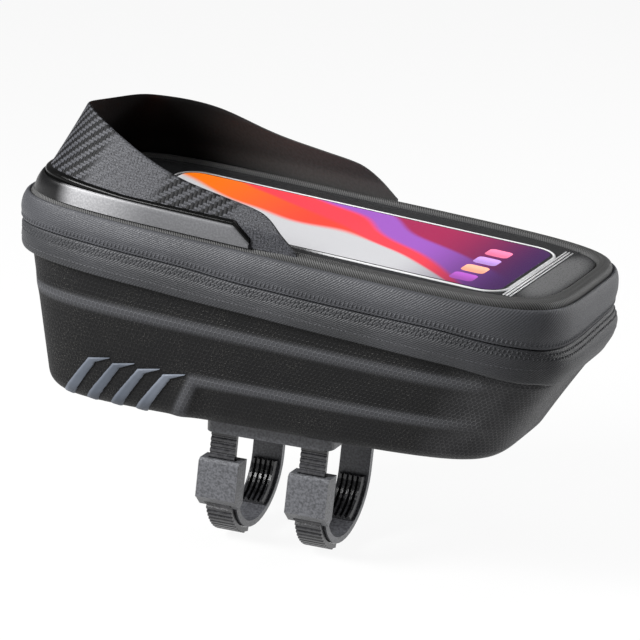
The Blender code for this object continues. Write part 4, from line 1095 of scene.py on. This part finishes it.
def visor_lining_painted_sheen(name):
    """Matt black inside, turning dark grey along the far leg, where the grey is a painted sheen."""
    g = Graph(name, roughness=0.5)
    x, _, _ = g.split(g.uv())
    grain = g.noise(g.uv(), 900.0, 3.0, 0.6)
    grey = g.blend(g.ramp(grain, 0.3, 0.7), (0.032, 0.031, 0.030), (0.044, 0.043, 0.042))
    black = g.blend(g.ramp(grain, 0.3, 0.7), (0.0015, 0.0015, 0.0015), (0.0035, 0.0035, 0.0035))
    # Painted sheen: dark grey along the far leg, black towards the hinge end.
    g.put("Base Color", g.blend(g.ramp(x, -0.118, -0.062), grey, black))
    g.put("Roughness", g.ramp(grain, 0.3, 0.7, 0.55, 0.42))
    g.put("Specular IOR Level", 0.25)
    g.bump((grain, 0.00005, 0.4))
    return g.material


def make_visor():
    twill = carbon("carbon_twill")
    inside = visor_lining_painted_sheen("visor_inside")
    arcs = leg_arcs(VISOR_END - 0.0012, 520)
    angles = angles_at(arcs)
    shares = list(np.linspace(0, 0.985, 26))
    rows = []
    for angle in angles:
        outer = [visor_point(angle, s, 0.0) for s in shares]
        crown = [visor_point(angle, 0.997, 0.0002), visor_point(angle, 1.0, 0.0006), visor_point(angle, 0.997, 0.0010)]
        inner = [visor_point(angle, s, VISOR_THICKNESS) for s in shares[::-2]]
        rows.append(outer + crown + inner)
    grid = round_corners(np.array(rows), np.array(shares + [1.0] * 3 + shares[::-2]))
    uv = []
    for row, arc in zip(grid, arcs):
        steps = np.linalg.norm(np.diff(np.vstack([row, row[:1]]), axis=0), axis=1)
        uv.append([(arc, v) for v in np.concatenate([[0.0], np.cumsum(steps)])])
    uv.append(uv[-1])
    slots = [0 if k <= len(shares) else 1 for k in range(grid.shape[1])]
    made = surface("visor_hood", grid, uv, [twill, inside], closed=(False, True), caps=True, slots=slots)
    keep(made, "lid", "visor", "sun_visor")
    # A glossy black bead along the foot of the hood, just above the strip.
    foot_bead_look = plastic("foot_bead_black", (0.0015, 0.0015, 0.0015), (0.004, 0.004, 0.004), 0.22, 0.1, gloss=0.12)
    arcs = leg_arcs(TRIM_END, 400)
    angles = angles_at(arcs)
    rows = []
    for angle in angles:
        station = float(plan_point(angle, LID_LENGTH / 2, LID_WIDTH / 2)[0])
        full = max(0.001, edge_height(station) - LEDGE_HEIGHT - GAP)
        base = float(trim_top(station)) - LEDGE_HEIGHT - GAP
        line = []
        for lift, depth in (
            (-0.0012, -0.0002), (-0.0002, -0.0006), (0.0003, -0.0010), (0.0009, -0.0011), (0.0014, -0.0008),
            (0.0017, -0.0002), (0.0017, 0.0004), (-0.0012, 0.0004),
        ):
            share = max(0.0, min(0.98, (base + lift) / full))
            line.append(visor_point(angle, share, depth))
        rows.append(line)
    grid = np.array(rows)
    made = surface("visor_foot_bead", grid, grid_uv(arcs, grid), [foot_bead_look], closed=(False, True), caps=True)
    keep(made, "lid", "trim")


# Nodes carried over from the frame, with rounded edges and their own materials

def dress(node, look, bevel=0.0, segments=2, angle=35):
    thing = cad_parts[node]
    thing.data.materials.clear()
    thing.data.materials.append(look)
    if bevel:
        modifier = thing.modifiers.new("edge", "BEVEL")
        modifier.width = bevel
        modifier.segments = segments
        modifier.limit_method = "ANGLE"
        modifier.angle_limit = radians(angle)
        modifier.harden_normals = True
    thing.data.shade_smooth()
    thing.data.set_sharp_from_angle(angle=radians(angle))


def make_phone():
    metal = plastic("phone_metal_look", (0.30, 0.31, 0.33), (0.42, 0.43, 0.45), 0.28, 0.1, metallic=0.9)
    glass = plastic("phone_bezel", (0.002, 0.002, 0.002), (0.005, 0.005, 0.005), 0.06, 0.08, gloss=0.15)
    dress("phone", metal)
    top = SEAM_HEIGHT + FILM_HEIGHT - GAP
    dress("phone_screen", glass)
    edge = rounded(PHONE_LENGTH - 0.0011, PHONE_WIDTH - 0.0011, PHONE_CORNER - 0.0005, PHONE_CENTRE, 10)
    silver = plastic("phone_edge_silver", (0.62, 0.62, 0.63), (0.80, 0.80, 0.81), 0.25, 0.1, gloss=0.5)
    edge_ring("phone_edge_band", edge, top - 0.00035, 0.00058, silver, "phone")
    length, width = PHONE_LENGTH - 0.0046, PHONE_WIDTH - 0.0044
    outline = rounded(length, width, PHONE_CORNER - 0.0030, PHONE_CENTRE, 10)
    rows = []
    for scale in (1.0, 0.995, 0.9, 0.7, 0.5, 0.3, 0.1):
        inwards = np.array(PHONE_CENTRE) + (outline - np.array(PHONE_CENTRE)) * scale
        rows.append(np.column_stack([inwards[:, 0] + BAG_AHEAD, inwards[:, 1], np.full(len(inwards), top + 0.00008)]))
    foot = rows[0].copy()
    foot[:, 2] = top - 0.00010
    rows.insert(0, foot)
    grid = np.array(rows)
    corner = np.array([PHONE_CENTRE[0] + BAG_AHEAD - length / 2, PHONE_CENTRE[1] - width / 2])
    uv = []
    for row in grid:
        flat = [tuple(p[:2] - corner) for p in row]
        uv.append(flat + flat[:1])
    uv.append(uv[-1])
    made = surface("screen_picture", grid, uv, [screen_picture("screen_waves")], closed=(False, True), caps=True)
    keep(made, "lid", "screen")
    tiles = (
        (0.066, 0.012, 0.0044, "tile_rose", (0.80, 0.16, 0.30)), (0.066, 0.000, 0.0044, "tile_lilac", (0.42, 0.24, 0.62)),
        (0.066, -0.012, 0.0044, "tile_peach", (0.85, 0.33, 0.22)), (0.066, -0.0235, 0.0044, "tile_plum", (0.30, 0.06, 0.36)),
    )
    for x, y, half, name, colour in tiles:
        ring_points = rounded(2 * half, 2 * half, half * 0.45, (x, y), 6)
        levels = []
        for scale, z in ((1.0, 0.00004), (1.0, 0.00012), (0.93, 0.00016), (0.5, 0.00016), (0.1, 0.00016)):
            spread = np.array((x, y)) + (ring_points - np.array((x, y))) * scale
            levels.append(np.column_stack([spread[:, 0] + BAG_AHEAD, spread[:, 1], np.full(len(spread), top + z)]))
        grid = np.array(levels)
        uv = [[(p[0], p[1]) for p in row] + [(row[0][0], row[0][1])] for row in grid]
        uv.append(uv[-1])
        g = Graph(name + "_look", colour, 0.2)
        shade = g.ramp(g.split(g.uv())[1], y - half, y + half)
        tone = g.blend(shade, tuple(c * 0.75 for c in colour), tuple(min(1.0, c * 1.25) for c in colour))
        g.put("Base Color", tone)
        g.put("Emission Color", tone)
        g.put("Emission Strength", 0.6)
        g.put("Specular IOR Level", 0.1)
        keep(surface(name, grid, uv, [g.material], closed=(False, True), caps=True), "lid", "screen")


def edge_ring(name, outline, height, radius, look, slot, sides=8):
    """A thin bead that follows a closed outline."""
    centre = outline.mean(axis=0)
    rows = []
    for point in outline:
        out = (point - centre) / np.linalg.norm(point - centre)
        line = []
        for k in range(sides):
            angle = 2 * pi * k / sides
            place = point + out * radius * cos(angle)
            line.append((place[0] + BAG_AHEAD, place[1], height + radius * sin(angle)))
        rows.append(line)
    grid = np.array(rows)
    uv = [[(0.001 * i, 0.001 * j) for j in range(sides + 1)] for i in range(len(outline) + 1)]
    return keep(surface(name, grid, uv, [look]), "lid", slot)


def rounded(length, width, corner, centre, steps):
    points = []
    for quarter in range(4):
        x = (length / 2 - corner) * (1 if quarter in (0, 3) else -1)
        y = (width / 2 - corner) * (1 if quarter in (0, 1) else -1)
        for k in range(steps + 1):
            angle = pi / 2 * (quarter + k / steps)
            points.append((centre[0] + x + corner * cos(angle), centre[1] + y + corner * sin(angle)))
    return np.array(points)


PANEL_START = 0.0880
# Painted reflections: the pale lines across the tray, each at its place and with its radius.
REFLECTION_STREAKS = ((0.0846, 0.00030), (0.0858, 0.00034), (0.0871, 0.00026))


def panel_shade(name):
    """Gloss black, with a painted sheen that makes it paler and softer towards the panel's middle."""
    g = Graph(name, roughness=0.3)
    x, y, _ = g.split(g.uv())
    across = g.math("POWER", g.math("ABSOLUTE", g.math("DIVIDE", y, 0.034)), 3.0)
    along = g.math("POWER", g.math("ABSOLUTE", g.math("DIVIDE", g.math("SUBTRACT", x, 0.0925), 0.0080)), 2.0)
    # Painted sheen: the black turns paler towards the panel's middle.
    painted_sheen_share = g.ramp(g.math("ADD", across, along), 0.15, 1.1, 1.0, 0.0)
    grain = g.noise(g.uv(), 1500.0, 2.0)
    g.put("Base Color", g.blend(painted_sheen_share, (0.004, 0.004, 0.004), (0.125, 0.125, 0.126)))
    g.put("Specular IOR Level", 0.15)
    g.put("Roughness", g.ramp(grain, 0.3, 0.7, 0.34, 0.26))
    g.bump((grain, 0.00004, 0.3))
    return g.material


def make_end_panel():
    """The shaped panel of the tray beyond the phone, and before it three bright lines that are painted reflections."""
    half_length = LID_LENGTH / 2 - RIM_WIDTH - GAP - 0.0006
    half_width = LID_WIDTH / 2 - RIM_WIDTH - GAP - 0.0006
    rows = []
    for y in np.linspace(-0.955, 0.955, 70) * half_width:
        end = half_length * (1 - abs(y / half_width) ** CORNER_POWER) ** (1 / CORNER_POWER)
        xs = np.linspace(PANEL_START, max(PANEL_START + 0.0005, end), 18)
        share = (xs - PANEL_START) / max(0.0005, end - PANEL_START)
        dome = 0.00022 * np.sin(pi * share) * (1 - (y / half_width) ** 4)
        top = np.column_stack([xs, np.full(18, y), FRAME_TOP + 0.00006 + dome])
        foot = np.column_stack([xs[::-1], np.full(18, y), np.full(18, FRAME_TOP - 0.0002)])
        rows.append(np.vstack([top, foot]))
    grid = np.array(rows)
    uv = [[(p[0], p[1]) for p in row] + [(row[0][0], row[0][1])] for row in grid]
    uv.append(uv[-1])
    grid = grid + np.array([BAG_AHEAD, 0, SEAM_HEIGHT])
    keep(surface("tray_end_panel", grid, uv, [panel_shade("panel_gloss")], closed=(False, True), caps=True), "lid", "frame")
    # Pale beads that stand for reflections on the tray: painted reflections.
    bright = plastic("painted_reflection_streak", (0.55, 0.55, 0.56), (0.75, 0.75, 0.76), 0.25, 0.1, gloss=0.5)
    for number, (x, radius) in enumerate(REFLECTION_STREAKS, 1):
        places = np.array([[x + BAG_AHEAD, 0.0, SEAM_HEIGHT + FRAME_TOP + 0.00002]])
        made = bumps(
            f"painted_reflection_line_{number}", places, np.array([[0.0, 1.0, 0.0]]), np.array([[0.0, 0.0, 1.0]]),
            0.066, radius, bright, sides=10,
        )
        keep(made, "lid", "frame")


def make_window():
    black = plastic("tray_gloss", (0.0020, 0.0020, 0.0020), (0.005, 0.005, 0.0055), 0.12, 0.05, gloss=0.15)
    make_end_panel()
    dress("lid_frame", black)
    dress("window_film", clear_film("film_clear"))
    dress("phone_pocket_backing", lining("backing_fabric"))
    make_phone()


def dress_hardware():
    hard = plastic(
        "clamp_plastic", (0.010, 0.0103, 0.0115), (0.145, 0.148, 0.162), 0.32, 0.9,
        grain_scale=1400.0, gloss=0.5, mottle=1150.0,
    )
    rubber = plastic(
        "strap_rubber_look", (0.005, 0.005, 0.006), (0.045, 0.045, 0.050), 0.22, 0.3, gloss=0.6, mottle=600.0,
    )
    steel = plastic("screw_steel", (0.40, 0.41, 0.43), (0.52, 0.53, 0.55), 0.30, 0.2, metallic=1.0)
    black_metal = plastic("slider_metal", (0.020, 0.020, 0.022), (0.055, 0.055, 0.060), 0.30, 0.2, metallic=0.7)
    for number in (1, 2):
        dress(f"clamp_arm_{number}", hard, 0.0008, 3)
        dress(f"ratchet_strap_{number}", rubber, 0.00016)
        dress(f"grip_pad_{number}", rubber, 0.00025)
    for node in ("mount_plate", "inner_plate"):
        dress(node, hard, 0.0005)
    for number in (1, 2, 3, 4):
        dress(f"mount_screw_{number}", steel, 0.0002)
    dress("zip_slider", black_metal, 0.0003)
    dress("zip_puller", rubber, 0.0003)


# Stage

WORLD_LEVEL = 0.13
FLOOR_WHITE = 0.91


def make_stage():
    floor_level = CAD_BOX[0][2] - 0.002
    mesh = bpy.data.meshes.new("floor")
    half = 3.0
    mesh.from_pydata([(-half, -half, floor_level), (half, -half, floor_level), (half, half, floor_level), (-half, half, floor_level)], [], [(0, 1, 2, 3)])
    floor = bpy.data.objects.new("floor", mesh)
    bpy.context.scene.collection.objects.link(floor)
    g = Graph("floor_paper", (0.93, 0.93, 0.93), 0.9)
    grain = g.noise(g.place(), 3.0)
    path = g.tree.nodes.new("ShaderNodeLightPath").outputs
    seen = g.math("MAXIMUM", path["Is Camera Ray"], path["Is Glossy Ray"])
    seen = g.math("MAXIMUM", seen, path["Is Transmission Ray"])
    paper = g.blend(grain, (0.93, 0.93, 0.93), (0.95, 0.95, 0.95))
    g.put("Base Color", g.blend(seen, (0.30, 0.30, 0.30), paper))
    white = g.node("Emission", {0: (1, 1, 1, 1), 1: 1.0})
    mixed = g.node("MixShader", {0: g.math("MULTIPLY", seen, FLOOR_WHITE), 1: g.shader.outputs[0], 2: white})
    g.tree.links.new(mixed, g.tree.nodes["Material Output"].inputs[0])
    mesh.materials.append(g.material)
    world = bpy.data.worlds.new("world")
    bpy.context.scene.world = world
    world.use_nodes = True
    back = world.node_tree.nodes["Background"]
    back.inputs[0].default_value = (1, 1, 1, 1)
    back.inputs[1].default_value = WORLD_LEVEL


def area_light(name, place, size, power):
    data = bpy.data.lights.new(name, "AREA")
    data.shape = "RECTANGLE"
    data.size, data.size_y = size
    data.energy = power
    light = bpy.data.objects.new(name, data)
    light.location = place
    light.rotation_euler = (Vector((0.0, 0.0, 0.05)) - Vector(place)).to_track_quat("-Z", "Y").to_euler()
    bpy.context.scene.collection.objects.link(light)


def make_lights():
    area_light("key", (-0.50, -0.52, 0.50), (0.40, 0.30), 12.5)
    area_light("top", (0.10, 0.05, 0.9), (0.7, 0.5), 2.2)
    area_light("right", (0.75, 0.42, 0.10), (0.6, 0.2), 1.7)
    area_light("back", (0.65, 0.85, 0.40), (0.5, 0.3), 5.0)


make_camera()
make_shell()
make_chevrons()
make_bands()
make_rim()
make_window()
make_trim()
make_visor()
dress_hardware()
make_stage()
make_lights()
